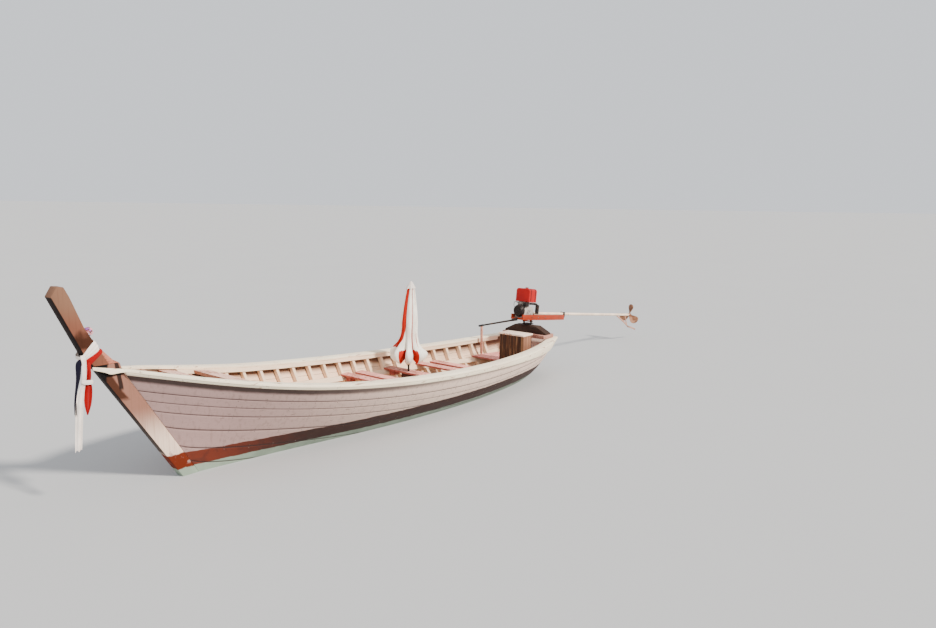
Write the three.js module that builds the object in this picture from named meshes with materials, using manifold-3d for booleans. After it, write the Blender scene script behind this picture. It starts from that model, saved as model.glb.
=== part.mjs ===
// Longtail boat: planked wooden hull with a tall prow post, and an engine with a long propeller tail
// on a swivel at the stern. Millimetres, +X to the bow, +Y to port, +Z up.
// The origin is on the centreline, on the water surface, amidships.
import * as THREE from "three";
import { mergeVertices } from "three/addons/utils/BufferGeometryUtils.js";
import Module from "manifold-3d";

const wasm = await Module();
wasm.setup();

const boat = new THREE.Group();

// Gap left between pieces that lie against each other
const FIT = 0.3;

// Finishes of the pieces
const finishes = {
  hullPaint: { color: "#d9c9c8", roughness: 0.75, metalness: 0 },
  creamPaint: { color: "#efe0c4", roughness: 0.7, metalness: 0 },
  bareWood: { color: "#8a6650", roughness: 0.85, metalness: 0 },
  redWood: { color: "#b0636a", roughness: 0.75, metalness: 0 },
  darkWood: { color: "#2b211d", roughness: 0.8, metalness: 0 },
  pinkWood: { color: "#c8a49a", roughness: 0.75, metalness: 0 },
  bottomPaint: { color: "#8c4436", roughness: 0.7, metalness: 0 },
  orangeSteel: { color: "#d2603a", roughness: 0.55, metalness: 0.2 },
  paleSteel: { color: "#dcb9a8", roughness: 0.5, metalness: 0.3 },
  darkSteel: { color: "#2f2a2a", roughness: 0.6, metalness: 0.4 },
  greyAlloy: { color: "#b9b6b0", roughness: 0.5, metalness: 0.5 },
  bronze: { color: "#a89a80", roughness: 0.45, metalness: 0.6 },
  tankRed: { color: "#d9241c", roughness: 0.35, metalness: 0.1 },
  canopyCloth: { color: "#efe3d6", roughness: 0.9, metalness: 0 },
  whiteCloth: { color: "#f0ece6", roughness: 0.95, metalness: 0 },
  redCloth: { color: "#c33338", roughness: 0.95, metalness: 0 },
  navyCloth: { color: "#2c2f52", roughness: 0.95, metalness: 0 },
  flowers: { color: "#8f4a9e", roughness: 0.95, metalness: 0 },
};
const materials = Object.fromEntries(
  Object.entries(finishes).map(([name, look]) => [name, new THREE.MeshStandardMaterial(look)])
);

function add(name, geometry, finish, parent = boat) {
  const mesh = new THREE.Mesh(geometry, materials[finish]);
  mesh.name = name;
  parent.add(mesh);
  return mesh;
}

// Solids and booleans
function volumeOf(geometry) {
  const position = geometry.getAttribute("position");
  const index = geometry.index;
  const [a, b, c] = [new THREE.Vector3(), new THREE.Vector3(), new THREE.Vector3()];
  let volume = 0;
  for (let i = 0; i < index.count; i += 3) {
    a.fromBufferAttribute(position, index.getX(i));
    b.fromBufferAttribute(position, index.getX(i + 1));
    c.fromBufferAttribute(position, index.getX(i + 2));
    volume += a.dot(b.clone().cross(c)) / 6;
  }
  return volume;
}

function toSolid(geometry) {
  const bare = geometry.clone();
  bare.deleteAttribute("normal");
  bare.deleteAttribute("uv");
  const merged = mergeVertices(bare, 1e-3);
  const mesh = new wasm.Mesh({
    numProp: 3,
    vertProperties: new Float32Array(merged.getAttribute("position").array),
    triVerts: new Uint32Array(merged.index.array),
  });
  return new wasm.Manifold(mesh);
}

function toGeometry(solid) {
  const mesh = solid.getMesh();
  const geometry = new THREE.BufferGeometry();
  geometry.setAttribute("position", new THREE.BufferAttribute(new Float32Array(mesh.vertProperties), 3));
  geometry.setIndex(new THREE.BufferAttribute(new Uint32Array(mesh.triVerts), 1));
  return geometry;
}

const union = (...solids) => solids.reduce((sum, solid) => sum.add(solid));

// A closed solid through rings of equal point count, its two ends flat. Each four-sided face is split
// along one diagonal, and along the other one where crossed says so, so that neighbours match.
function loft(rings, crossed = (i, count) => i === count - 1) {
  const count = rings[0].length;
  const points = rings.flat().flatMap((p) => [p.x, p.y, p.z]);
  const faces = [];
  for (let r = 0; r < rings.length - 1; r++) {
    for (let i = 0; i < count; i++) {
      const a = r * count + i;
      const b = r * count + ((i + 1) % count);
      if (crossed(i, count)) {
        faces.push(a, b, b + count, a, b + count, a + count);
      } else {
        faces.push(a, b, a + count, b, b + count, a + count);
      }
    }
  }
  const last = (rings.length - 1) * count;
  for (let i = 1; i < count - 1; i++) {
    faces.push(0, i + 1, i);
    faces.push(last, last + i, last + i + 1);
  }
  const geometry = new THREE.BufferGeometry();
  geometry.setAttribute("position", new THREE.Float32BufferAttribute(points, 3));
  geometry.setIndex(faces);
  if (volumeOf(geometry) < 0) {
    geometry.index.array.reverse();
  }
  return geometry;
}

// A box between two corners
function box(low, high) {
  const geometry = new THREE.BoxGeometry(high[0] - low[0], high[1] - low[1], high[2] - low[2]);
  geometry.translate((low[0] + high[0]) / 2, (low[1] + high[1]) / 2, (low[2] + high[2]) / 2);
  return geometry;
}

// A plate whose outline is drawn in side view, from y = -halfWidth to y = +halfWidth
function sidePlate(outline, halfWidth, centreY = 0) {
  const shape = new THREE.Shape(outline.map(([x, z]) => new THREE.Vector2(x, z)));
  const geometry = new THREE.ExtrudeGeometry(shape, { depth: 2 * halfWidth, bevelEnabled: false });
  geometry.rotateX(Math.PI / 2);
  geometry.translate(0, centreY + halfWidth, 0);
  return geometry;
}

// A plate whose outline is drawn in end view, from x to x + length
function endPlate(outline, x, length) {
  const shape = new THREE.Shape(outline.map(([y, z]) => new THREE.Vector2(y, z)));
  const geometry = new THREE.ExtrudeGeometry(shape, { depth: length, bevelEnabled: false });
  geometry.rotateX(Math.PI / 2);
  geometry.rotateZ(Math.PI / 2);
  geometry.translate(x, 0, 0);
  return geometry;
}

// A round bar between two points
function bar(from, to, radiusFrom, radiusTo = radiusFrom, sides = 16) {
  const start = new THREE.Vector3(...from);
  const end = new THREE.Vector3(...to);
  const along = end.clone().sub(start);
  const geometry = new THREE.CylinderGeometry(radiusTo, radiusFrom, along.length(), sides);
  const up = new THREE.Vector3(0, 1, 0);
  geometry.applyQuaternion(new THREE.Quaternion().setFromUnitVectors(up, along.clone().normalize()));
  const middle = start.add(end).multiplyScalar(0.5);
  geometry.translate(middle.x, middle.y, middle.z);
  return geometry;
}

// A round pipe through points
function pipe(points, radius, steps, sides = 10) {
  const route = new THREE.CatmullRomCurve3(points.map((p) => new THREE.Vector3(...p)));
  const section = new THREE.Shape();
  section.absarc(0, 0, radius, 0, 2 * Math.PI, false);
  const settings = { steps, extrudePath: route, bevelEnabled: false, curveSegments: sides };
  return new THREE.ExtrudeGeometry(section, settings);
}

// Hull form: each row is one raked section from the keel line to the sheer line
const sections = [
  // keelX, keelZ, sheerX, sheerZ, halfBreadth, fullness, waleDrop, riserDrop
  [3184, -40, 4000, 1290, 62, 1.0, 36, 245],
  [3090, -84, 3830, 1252, 175, 1.0, 36, 245],
  [2910, -126, 3550, 1188, 345, 1.0, 35, 245],
  [2620, -166, 3150, 1096, 530, 1.02, 34, 245],
  [2240, -198, 2650, 992, 705, 1.05, 34, 245],
  [1760, -222, 2050, 888, 840, 1.12, 34, 245],
  [1180, -240, 1350, 798, 945, 1.22, 38, 245],
  [480, -250, 550, 722, 995, 1.34, 48, 245],
  [-300, -250, -300, 662, 1000, 1.45, 54, 245],
  [-1120, -238, -1150, 622, 965, 1.55, 60, 245],
  [-1860, -208, -1950, 600, 880, 1.62, 78, 266],
  [-2520, -156, -2700, 598, 765, 1.68, 102, 292],
  [-3000, -96, -3300, 612, 620, 1.72, 128, 306],
  [-3240, -40, -3790, 632, 440, 1.75, 140, 306],
].map(([keelX, keelZ, sheerX, sheerZ, halfBreadth, fullness, waleDrop, riserDrop]) => ({
  keelX, keelZ, sheerX, sheerZ, halfBreadth, fullness, waleDrop, riserDrop,
}));
const lastSection = sections.length - 1;
const bow = sections[0];

const KEEL_HALF = 60;
const PLANK = 28;
const RIB_DEPTH = 65;
const INSIDE_RIBS = PLANK + RIB_DEPTH + 1;

// Point of a section at height fraction h, and its inward direction
function sectionPoint(s, h) {
  const rise = Math.pow(1 - Math.pow(1 - h, s.fullness), 1 / s.fullness);
  const y = KEEL_HALF + (s.halfBreadth - KEEL_HALF) * rise;
  return new THREE.Vector3(s.keelX + (s.sheerX - s.keelX) * h, y, s.keelZ + (s.sheerZ - s.keelZ) * h);
}

// A section's curve, evenly spaced along its length, moved inward by a depth
const FINE = 80;
const curves = sections.map((s) => {
  const fine = [];
  for (let i = 0; i <= FINE; i++) {
    fine.push(sectionPoint(s, 1 - Math.cos((Math.PI / 2) * (i / FINE))));
  }
  const lengths = [0];
  for (let i = 1; i <= FINE; i++) {
    lengths.push(lengths[i - 1] + fine[i].distanceTo(fine[i - 1]));
  }
  return { fine, lengths, total: lengths[FINE] };
});

function surfacePoint(index, t, depth = 0) {
  const { fine, lengths, total } = curves[index];
  const s = sections[index];
  const target = Math.min(Math.max(t, 0), 1) * total;
  let i = 1;
  while (i < FINE && lengths[i] < target) {
    i++;
  }
  const share = (target - lengths[i - 1]) / (lengths[i] - lengths[i - 1]);
  const point = fine[i - 1].clone().lerp(fine[i], share);
  const tangent = fine[i].clone().sub(fine[i - 1]).normalize();
  const rake = new THREE.Vector3(s.sheerX - s.keelX, 0, s.sheerZ - s.keelZ).normalize();
  const inward = rake.multiplyScalar(tangent.y).add(new THREE.Vector3(0, -tangent.dot(rakeOf(s)), 0));
  return point.addScaledVector(inward.normalize(), depth);
}

function rakeOf(s) {
  return new THREE.Vector3(s.sheerX - s.keelX, 0, s.sheerZ - s.keelZ).normalize();
}

// Point at a height below the sheer on the surface moved inward by a depth
function pointBelowSheer(index, drop, depth) {
  const goal = sections[index].sheerZ - drop;
  let low = 0;
  let high = 1;
  for (let i = 0; i < 30; i++) {
    const middle = (low + high) / 2;
    if (surfacePoint(index, middle, depth).z < goal) {
      low = middle;
    } else {
      high = middle;
    }
  }
  return surfacePoint(index, low, depth);
}

// Shares of the girth at which every surface of the hull has an edge. The last but one is the wale's low edge
const PLAIN_GIRTH = [0, 0.1, 0.2, 0.3, 0.49, 0.615, 0.74];
function waleShare(index) {
  const goal = sections[index].sheerZ - sections[index].waleDrop;
  let [low, high] = [0, 1];
  for (let i = 0; i < 30; i++) {
    const middle = (low + high) / 2;
    if (surfacePoint(index, middle).z < goal) {
      low = middle;
    } else {
      high = middle;
    }
  }
  return low;
}
const girths = sections.map((s, index) => [...PLAIN_GIRTH, waleShare(index), 1]);
const GIRTH_EDGES = PLAIN_GIRTH.length + 2;

// The whole hull as one solid, moved inward by a depth, its top raised above the sheer
const RAISE = 300;
function hullRing(index, depth) {
  const side = girths[index].map((t) => surfacePoint(index, t, depth));
  side.forEach((p) => (p.y = Math.max(p.y, 2)));
  side.push(side[side.length - 1].clone().addScaledVector(rakeOf(sections[index]), RAISE));
  const starboard = side.map((p) => new THREE.Vector3(p.x, -p.y, p.z)).reverse();
  return [...side, ...starboard];
}
const hullSolid = (depth) =>
  toSolid(loft(sections.map((s, index) => hullRing(index, depth)), (i) => i <= GIRTH_EDGES));

// All that lies below the sheer line
const belowSheer = toSolid(
  loft(
    sections.map((s) => [
      new THREE.Vector3(s.sheerX, -1500, -700),
      new THREE.Vector3(s.sheerX, 1500, -700),
      new THREE.Vector3(s.sheerX, 1500, s.sheerZ - FIT),
      new THREE.Vector3(s.sheerX, -1500, s.sheerZ - FIT),
    ])
  )
);

const mirrorSides = [
  ["port", 1],
  ["starboard", -1],
];
const onSide = (points, side) => points.map((p) => new THREE.Vector3(p.x, p.y * side, p.z));

// Planking: the bottom, then three strakes to the sheer, by share of the girth. The lowest strake is in two
// lengths that butt against each other amidships
const BUTT = 8;
const strakes = [
  // name, from, to, first section, last section, finish
  ["bottom_planking", 0, 0.3, 0, lastSection, "bottomPaint"],
  ["strake_1_fore", 0.3, 0.49, 0, BUTT, "hullPaint"],
  ["strake_1_aft", 0.3, 0.49, BUTT, lastSection, "hullPaint"],
  ["strake_2", 0.49, 0.74, 0, lastSection, "hullPaint"],
  ["strake_3", 0.74, 1, 0, lastSection, "hullPaint"],
];
for (const [side, sign] of mirrorSides) {
  for (const [name, from, to, first, last, finish] of strakes) {
    const edgesAt = (index) => girths[index].filter((t) => t >= from && t <= to);
    const edgeCount = edgesAt(0).length;
    const rings = [];
    for (let index = first; index <= last; index++) {
      const edges = edgesAt(index);
      const outer = edges.map((t) => surfacePoint(index, t, 0));
      const inner = edges.map((t) => surfacePoint(index, t, PLANK));
      const seam = outer[1].clone().sub(outer[0]).setLength(FIT);
      outer[0].add(seam);
      inner[0].add(seam);
      const ring = [...outer, ...inner.reverse()];
      if (index === first && first > 0) {
        ring.forEach((p) => (p.x -= FIT));
      }
      rings.push(onSide(ring, sign));
    }
    const plank = toSolid(loft(rings, (i, count) => i < edgeCount - 1 || i === count - 1));
    add(`${name}_${side}`, toGeometry(to === 1 ? plank.intersect(belowSheer) : plank), finish);
  }
}

// Keel below the planking
const KEEL_DEPTH = 75;
const keelRings = sections.map((s) => {
  const top = s.keelZ - FIT;
  const corners = [[KEEL_HALF, top], [KEEL_HALF, top - KEEL_DEPTH], [-KEEL_HALF, top - KEEL_DEPTH], [-KEEL_HALF, top]];
  return corners.map(([y, z]) => new THREE.Vector3(s.keelX, y, z));
});
add("keel", loft(keelRings), "bottomPaint");

// Stem, a raked timber ahead of the planking, from the keel to the gunwale
const STEM_HALF = 65;
const stemAft = { low: [bow.keelX + FIT, bow.keelZ], high: [bow.sheerX + FIT, bow.sheerZ] };
const stemHead = 1392;
const stemFoot = bow.keelZ - KEEL_DEPTH;
const stemOutline = [
  stemAft.low,
  stemAft.high,
  [4030, stemHead],
  [4290, stemHead],
  [3404, 0],
  [3352, -80],
  [3290, stemFoot + 5],
  [3230, stemFoot],
  [bow.keelX + FIT, stemFoot],
];
add("stem", sidePlate(stemOutline, STEM_HALF), "hullPaint");

// Prow post standing on the stem head, its top cut to a blunt point, and the knee behind it
const POST_HALF = 72;
const postOutline = [
  [4292, stemHead + FIT],
  [4368, 1503],
  [4645, 2110],
  [4587, 2206],
  [4524, 2200],
  [4476, 2100],
  [4359, 1791],
  [4262, 1612],
  [4140, stemHead + FIT],
];
add("prow_post", sidePlate(postOutline, POST_HALF), "bareWood");

const kneeOutline = [
  [4246.6, 1586],
  [4182, 1528],
  [4094, 1430],
  [4042, 1400],
  [4034, stemHead + FIT],
  [4139.4, stemHead + FIT],
];
add("prow_knee", sidePlate(kneeOutline, 55), "bareWood");

// Transom, the raked board that closes the stern, inside the planking's ends
const TRANSOM = 42;
const transomRing = (shift) => hullRing(lastSection, 0).map((p) => new THREE.Vector3(p.x + shift, p.y, p.z));
const transomBody = toSolid(loft([transomRing(0), transomRing(TRANSOM)]));
add("transom", toGeometry(transomBody.intersect(hullSolid(PLANK + FIT)).intersect(belowSheer)), "hullPaint");

// Frames: ribs at an even pitch on a keelson
const RIB_PITCH = 297.5;
const RIB_WIDTH = 45;
const FIRST_RIB = 2950;
const RIB_COUNT = 21;
const ribX = Array.from({ length: RIB_COUNT }, (_, k) => FIRST_RIB - k * RIB_PITCH);
const insidePlanks = hullSolid(PLANK + FIT);
const insideRibs = hullSolid(PLANK + RIB_DEPTH);
const ribShell = insidePlanks.subtract(insideRibs);
const ribSlabs = union(
  ...ribX.map((x) => toSolid(box([x - RIB_WIDTH / 2, -1300, -400], [x + RIB_WIDTH / 2, 1300, 1400])))
);
const KEELSON_HALF = 45;
const keelsonRings = sections.slice(2, lastSection).map((s) => {
  const low = s.keelZ + PLANK + 12;
  const corners = [[KEELSON_HALF, low], [KEELSON_HALF, low + 80], [-KEELSON_HALF, low + 80], [-KEELSON_HALF, low]];
  return corners.map(([y, z]) => new THREE.Vector3(s.keelX - 20, y, z));
});
const keelson = toSolid(loft(keelsonRings)).intersect(insidePlanks);
let frames = ribShell.intersect(ribSlabs).add(keelson);

// Inwales at the heads of the ribs and risers that carry the thwarts, both let into the ribs' inner faces
const INWALE = 30;
const RISER_HEIGHT = 62;
const stringers = [
  // drop of the top below the sheer at a section, height, thickness, first section, last section
  [() => 1, 50, INWALE, 3, lastSection - 1],
  [(s) => s.riserDrop, RISER_HEIGHT, 30, 5, lastSection - 1],
];
const STRINGER_DEPTH = INSIDE_RIBS - 6;
function stringer([drop, height, thick, first, last], sign, grow = 0) {
  const rings = [];
  for (let index = first; index <= last; index++) {
    const topDrop = drop(sections[index]);
    const top = pointBelowSheer(index, topDrop, STRINGER_DEPTH);
    const low = pointBelowSheer(index, topDrop + height, STRINGER_DEPTH);
    const corners = [
      [top, 0, grow],
      [top, -thick - grow, grow],
      [low, -thick - grow, -grow],
      [low, 0, -grow],
    ];
    rings.push(onSide(corners.map(([p, across, up]) => new THREE.Vector3(p.x, p.y + across, p.z + up)), sign));
  }
  return toSolid(loft(rings));
}
for (const [, sign] of mirrorSides) {
  for (const row of stringers) {
    frames = frames.add(stringer(row, sign));
  }
}
add("frames", toGeometry(frames.intersect(belowSheer)), "creamPaint");

// Wales, the thick cream band outside along the sheer, deeper towards the stern
const WALE_OUT = 42;
const WALE_TAPER = 8;
for (const [side, sign] of mirrorSides) {
  const rings = sections.map((s, index) => {
    const top = surfacePoint(index, 1, -FIT).addScaledVector(rakeOf(s), -1);
    const low = surfacePoint(index, waleShare(index), -FIT);
    const topOut = new THREE.Vector3(top.x, top.y + WALE_OUT, top.z);
    const lowOut = new THREE.Vector3(low.x, low.y + WALE_OUT - WALE_TAPER, low.z);
    return onSide([low, top, topOut, lowOut], sign);
  });
  add(`wale_${side}`, loft(rings, (i) => i === 0), "creamPaint");
}

// Gunwale caps over the planking, the ribs and the wale, narrower at the bow and reaching forward beside the stem
const CAP = 32;
const CAP_OUT = 48;
const CAP_IN = PLANK + RIB_DEPTH + INWALE + 6;
const BOW_CAP_IN = [0, 58, 66, 96, 118];
const capRing = (x, inner, outer, z) => [
  new THREE.Vector3(x, inner, z + FIT),
  new THREE.Vector3(x, outer, z + FIT),
  new THREE.Vector3(x, outer, z + CAP),
  new THREE.Vector3(x, inner, z + CAP),
];
for (const [side, sign] of mirrorSides) {
  const beak = [
    capRing(4306, STEM_HALF + FIT, STEM_HALF + 9, 1358),
    capRing(4140, STEM_HALF + FIT, STEM_HALF + 44, 1322),
  ];
  const along = sections.map((s, index) => {
    const inner = Math.max(s.halfBreadth - (BOW_CAP_IN[index] ?? CAP_IN), STEM_HALF + FIT);
    return capRing(s.sheerX, inner, s.halfBreadth + CAP_OUT, s.sheerZ);
  });
  add(`gunwale_cap_${side}`, loft([...beak, ...along].map((ring) => onSide(ring, sign))), "creamPaint");
}

// Sheer height at a station of the length, between two sections
function sheerAt(x) {
  let i = 1;
  while (i < lastSection && sections[i].sheerX > x) {
    i++;
  }
  const [a, b] = [sections[i - 1], sections[i]];
  return THREE.MathUtils.mapLinear(x, a.sheerX, b.sheerX, a.sheerZ, b.sheerZ);
}

// Thwarts: boards across the boat on the risers, some with blocks under their ends
const THWART = 28;
const inHold = hullSolid(INSIDE_RIBS);
const parasol = { x: -685, y: -335 };
const POLE = 15;
const thwarts = [
  // name, x of the forward edge, width, has end blocks
  ["thwart_1", 330, 165, true],
  ["thwart_2", 30, 165, false],
  ["thwart_3", -590, 190, true],
  ["thwart_4", -1300, 165, false],
  ["thwart_5", -1630, 165, true],
];
const riserLine = sections.map((s, index) => pointBelowSheer(index, s.riserDrop, STRINGER_DEPTH));
function riserTopAt(x) {
  let i = 1;
  while (i < lastSection && riserLine[i].x > x) {
    i++;
  }
  return THREE.MathUtils.mapLinear(x, riserLine[i - 1].x, riserLine[i].x, riserLine[i - 1].z, riserLine[i].z);
}
const thwartBottom = (x, width) => Math.max(riserTopAt(x), riserTopAt(x - width)) + FIT;
// Half the clear width between the risers' lower edges
function riserHalfAt(x) {
  const inner = sections.map((s, index) => pointBelowSheer(index, s.riserDrop + RISER_HEIGHT, INSIDE_RIBS).y - 30);
  let i = 1;
  while (i < lastSection && sections[i].sheerX > x) {
    i++;
  }
  return THREE.MathUtils.mapLinear(x, sections[i - 1].sheerX, sections[i].sheerX, inner[i - 1], inner[i]);
}
for (const [name, x, width, hasBlocks] of thwarts) {
  const low = thwartBottom(x, width);
  let board = toSolid(box([x - width, -1200, low], [x, 1200, low + THWART]));
  if (hasBlocks) {
    for (const [, sign] of mirrorSides) {
      const centre = (riserHalfAt(x - width) - 60) * sign;
      const block = box([x - width + 30, centre - 45, low - 75], [x - 30, centre + 45, low + 2]);
      board = board.add(toSolid(block));
    }
  }
  if (name === "thwart_3") {
    board = board.subtract(toSolid(bar([parasol.x, parasol.y, low - 20], [parasol.x, parasol.y, low + 60], POLE + 1)));
  }
  add(name, toGeometry(board.intersect(inHold)), "redWood");
}

// Floor boards: one panel of boards side by side, with grooves between them
const FLOOR = { front: 2250, back: -2600, low: 62, thick: 22, board: 165, groove: 8 };
let floor = toSolid(box([FLOOR.back, -900, FLOOR.low], [FLOOR.front, 900, FLOOR.low + FLOOR.thick]));
for (let y = -3.5 * FLOOR.board; y < 4 * FLOOR.board; y += FLOOR.board) {
  const groove = box(
    [FLOOR.back - 10, y - FLOOR.groove / 2, FLOOR.low + FLOOR.thick - 6],
    [FLOOR.front + 10, y + FLOOR.groove / 2, FLOOR.low + FLOOR.thick + 10]
  );
  floor = floor.subtract(toSolid(groove));
}
add("floor_boards", toGeometry(floor.intersect(inHold)), "creamPaint");

// Platform before the engine, on the risers
const PLATFORM = { front: -2620, back: -3330, thick: 30 };
const platformLow = thwartBottom(PLATFORM.front, PLATFORM.front - PLATFORM.back);
const platformTop = platformLow + PLATFORM.thick;
const platformBoards = toSolid(box([PLATFORM.back, -1000, platformLow], [PLATFORM.front, 1000, platformTop]));
add("aft_platform", toGeometry(platformBoards.intersect(inHold)), "redWood");

// Bow planks laid across, two between the planking's sides and one between the inwales
const BOW_PLANK = 40;
const bowPlanks = [
  // name, forward x, aft x, drop of the top below the sheer, space that they fill
  ["bow_plank_1", 3692, 3602, 12, insidePlanks],
  ["bow_plank_2", 3402, 3156, 12, insidePlanks],
  ["bow_plank_3", 2890, 2640, 8, inHold],
];
const roomForInwales = union(...mirrorSides.map(([, sign]) => stringer(stringers[0], sign, FIT)));
for (const [name, forward, aft, drop, space] of bowPlanks) {
  const outline = [
    [aft, sheerAt(aft) - drop - BOW_PLANK],
    [forward, sheerAt(forward) - drop - BOW_PLANK],
    [forward, sheerAt(forward) - drop],
    [aft, sheerAt(aft) - drop],
  ];
  const plank = toSolid(sidePlate(outline, 800)).intersect(space).subtract(roomForInwales);
  add(name, toGeometry(plank), "pinkWood");
}

// Crate on the platform, used as a step: walls open at top and bottom, and a lid
const crate = { front: -2640, back: -2905, starboard: 5, port: 500, top: 838, wall: 22, lid: 26, lip: 14 };
const crateShell = toSolid(
  box([crate.back, crate.starboard, platformTop + FIT], [crate.front, crate.port, crate.top - crate.lid - FIT])
);
const crateHollow = toSolid(
  box(
    [crate.back + crate.wall, crate.starboard + crate.wall, platformTop - 10],
    [crate.front - crate.wall, crate.port - crate.wall, crate.top]
  )
);
add("crate_walls", toGeometry(crateShell.subtract(crateHollow)), "darkWood");
const lidLow = [crate.back - crate.lip, crate.starboard - crate.lip, crate.top - crate.lid];
const lidHigh = [crate.front + crate.lip, crate.port + crate.lip, crate.top];
add("crate_lid", box(lidLow, lidHigh), "pinkWood");

// Post on the starboard side of the platform, standing above the gunwale
const sidePost = { x: -2850, y: -545, half: 18, top: 862 };
add(
  "side_post",
  box(
    [sidePost.x - sidePost.half, sidePost.y - sidePost.half, platformTop + FIT],
    [sidePost.x + sidePost.half, sidePost.y + sidePost.half, sidePost.top]
  ),
  "pinkWood"
);

// Stern board and engine beam, laid across the caps one on the other
const sternBoard = { front: -3370, back: -3700, half: 452 };
sternBoard.low = sheerAt(sternBoard.back) + CAP + FIT;
sternBoard.high = sternBoard.low + 66;
add(
  "stern_board",
  box([sternBoard.back, -sternBoard.half, sternBoard.low], [sternBoard.front, sternBoard.half, sternBoard.high]),
  "pinkWood"
);
const beam = { front: -3440, back: -3610, low: sternBoard.high + FIT, top: 862 };
const beamOutline = [
  [-450, beam.low],
  [450, beam.low],
  [440, beam.low + 30],
  [230, beam.top],
  [-230, beam.top],
  [-440, beam.low + 30],
];
add("engine_beam", endPlate(beamOutline, beam.back, beam.front - beam.back), "darkWood");

// Swivel on the beam: a fixed socket and a yoke that turns in it
const pivot = { x: -3520, z: 932 };
const socketTop = beam.top + 16;
const socketProfile = [
  [24, beam.top + FIT],
  [60, beam.top + FIT],
  [60, socketTop],
  [24, socketTop],
  [24, beam.top + FIT],
];
function turned(profile, sides = 24) {
  const geometry = new THREE.LatheGeometry(profile.map(([r, z]) => new THREE.Vector2(r, z)), sides);
  geometry.rotateX(Math.PI / 2);
  return geometry;
}
const socket = turned(socketProfile);
socket.translate(pivot.x, 0, 0);
add("swivel_socket", socket, "darkSteel");

// Yoke: pin, base plate and two ears with a bore for the tilt pin
const EAR = { inner: 72, outer: 84, radius: 22 };
const TILT_PIN = 11;
const yokePinProfile = [[0, beam.top + FIT], [22, beam.top + FIT], [22, socketTop + 5], [0, socketTop + 5]];
const yokePin = turned(yokePinProfile);
yokePin.translate(pivot.x, 0, 0);
const yokeBase = box([pivot.x - 75, -EAR.outer, socketTop + FIT], [pivot.x + 75, EAR.outer, socketTop + 13]);
let yoke = toSolid(yokePin).add(toSolid(yokeBase));
for (const [, sign] of mirrorSides) {
  const near = Math.min(sign * EAR.inner, sign * EAR.outer);
  const far = Math.max(sign * EAR.inner, sign * EAR.outer);
  const web = box([pivot.x - EAR.radius, near, socketTop + 8], [pivot.x + EAR.radius, far, pivot.z]);
  const eye = bar([pivot.x, near, pivot.z], [pivot.x, far, pivot.z], EAR.radius, EAR.radius, 24);
  yoke = yoke.add(toSolid(web)).add(toSolid(eye));
}
const yokeBore = bar([pivot.x, -200, pivot.z], [pivot.x, 200, pivot.z], TILT_PIN + 0.5, TILT_PIN + 0.5, 24);
add("swivel_yoke", toGeometry(yoke.subtract(toSolid(yokeBore))), "darkSteel");

// Engine unit, drawn along its own shaft with the tilt pin at the origin, then tipped tail down
const TIP = THREE.MathUtils.degToRad(-6.6);
const engine = new THREE.Group();
engine.position.set(pivot.x, 0, pivot.z);
engine.rotation.y = TIP;
boat.add(engine);

// Place of a point of the boat's side view in the engine's own side view
function toEngine(x, z) {
  const [dx, dz] = [x - pivot.x, z - pivot.z];
  return [dx * Math.cos(TIP) - dz * Math.sin(TIP), dx * Math.sin(TIP) + dz * Math.cos(TIP)];
}

const SHAFT = 138;
const frame = { front: 360, neck: -420, back: -1195, low: 28, high: 122, half: 130, backHalf: 62, wall: 24, floor: 12 };

// Engine frame: two side rails drawn in plan, a floor plate, an end plate and two lugs for the tilt pin
function railPlan(sign) {
  const outer = [[frame.front, frame.half], [frame.neck, frame.half], [frame.back, frame.backHalf]];
  const inner = outer.map(([x, y]) => [x, y - frame.wall]).reverse();
  const shape = new THREE.Shape([...outer, ...inner].map(([x, y]) => new THREE.Vector2(x, y * sign)));
  const geometry = new THREE.ExtrudeGeometry(shape, { depth: frame.high - frame.low, bevelEnabled: false });
  geometry.translate(0, 0, frame.low);
  return geometry;
}
let frameBody = toSolid(railPlan(1)).add(toSolid(railPlan(-1)));
const innerHalf = frame.half - frame.wall;
const framePieces = [
  // low corner, high corner
  [[-300, -innerHalf - 4, frame.low], [frame.front, innerHalf + 4, frame.low + frame.floor]],
  [[frame.front - 20, -innerHalf - 4, frame.low], [frame.front, innerHalf + 4, frame.low + 36]],
  [[frame.back, -frame.backHalf + 4, frame.low], [frame.back + 16, frame.backHalf - 4, SHAFT - 31]],
  [[-560, -110, frame.low], [-540, 110, SHAFT - 31]],
];
for (const [low, high] of framePieces) {
  frameBody = frameBody.add(toSolid(box(low, high)));
}
for (const [, sign] of mirrorSides) {
  const near = Math.min(sign * (EAR.inner - 1), sign * (EAR.inner - 13));
  const far = Math.max(sign * (EAR.inner - 1), sign * (EAR.inner - 13));
  frameBody = frameBody.add(toSolid(box([-20, near, 0], [20, far, frame.low + 4])));
  frameBody = frameBody.add(toSolid(bar([0, near, 0], [0, far, 0], 20, 20, 24)));
}
frameBody = frameBody.add(toSolid(bar([0, -EAR.outer - 8, 0], [0, EAR.outer + 8, 0], TILT_PIN, TILT_PIN, 24)));
add("engine_frame", toGeometry(frameBody), "orangeSteel", engine);

// Engine: crankcase on the frame floor, shroud, cylinder, tank and pipes
const block = { front: 290, back: -8, half: 100, low: frame.low + frame.floor + FIT, high: 262 };
const crankOutline = [
  [block.back, block.low],
  [block.front, block.low],
  [block.front, block.high - 40],
  [block.front - 40, block.high],
  [block.back + 40, block.high],
  [block.back, block.high - 40],
];
add("crankcase", sidePlate(crankOutline, block.half), "greyAlloy", engine);

const fanHousing = bar([block.front + FIT, 0, 190], [block.front + 62, 0, 190], 118, 96, 28);
add("fan_housing", fanHousing, "darkSteel", engine);

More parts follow.
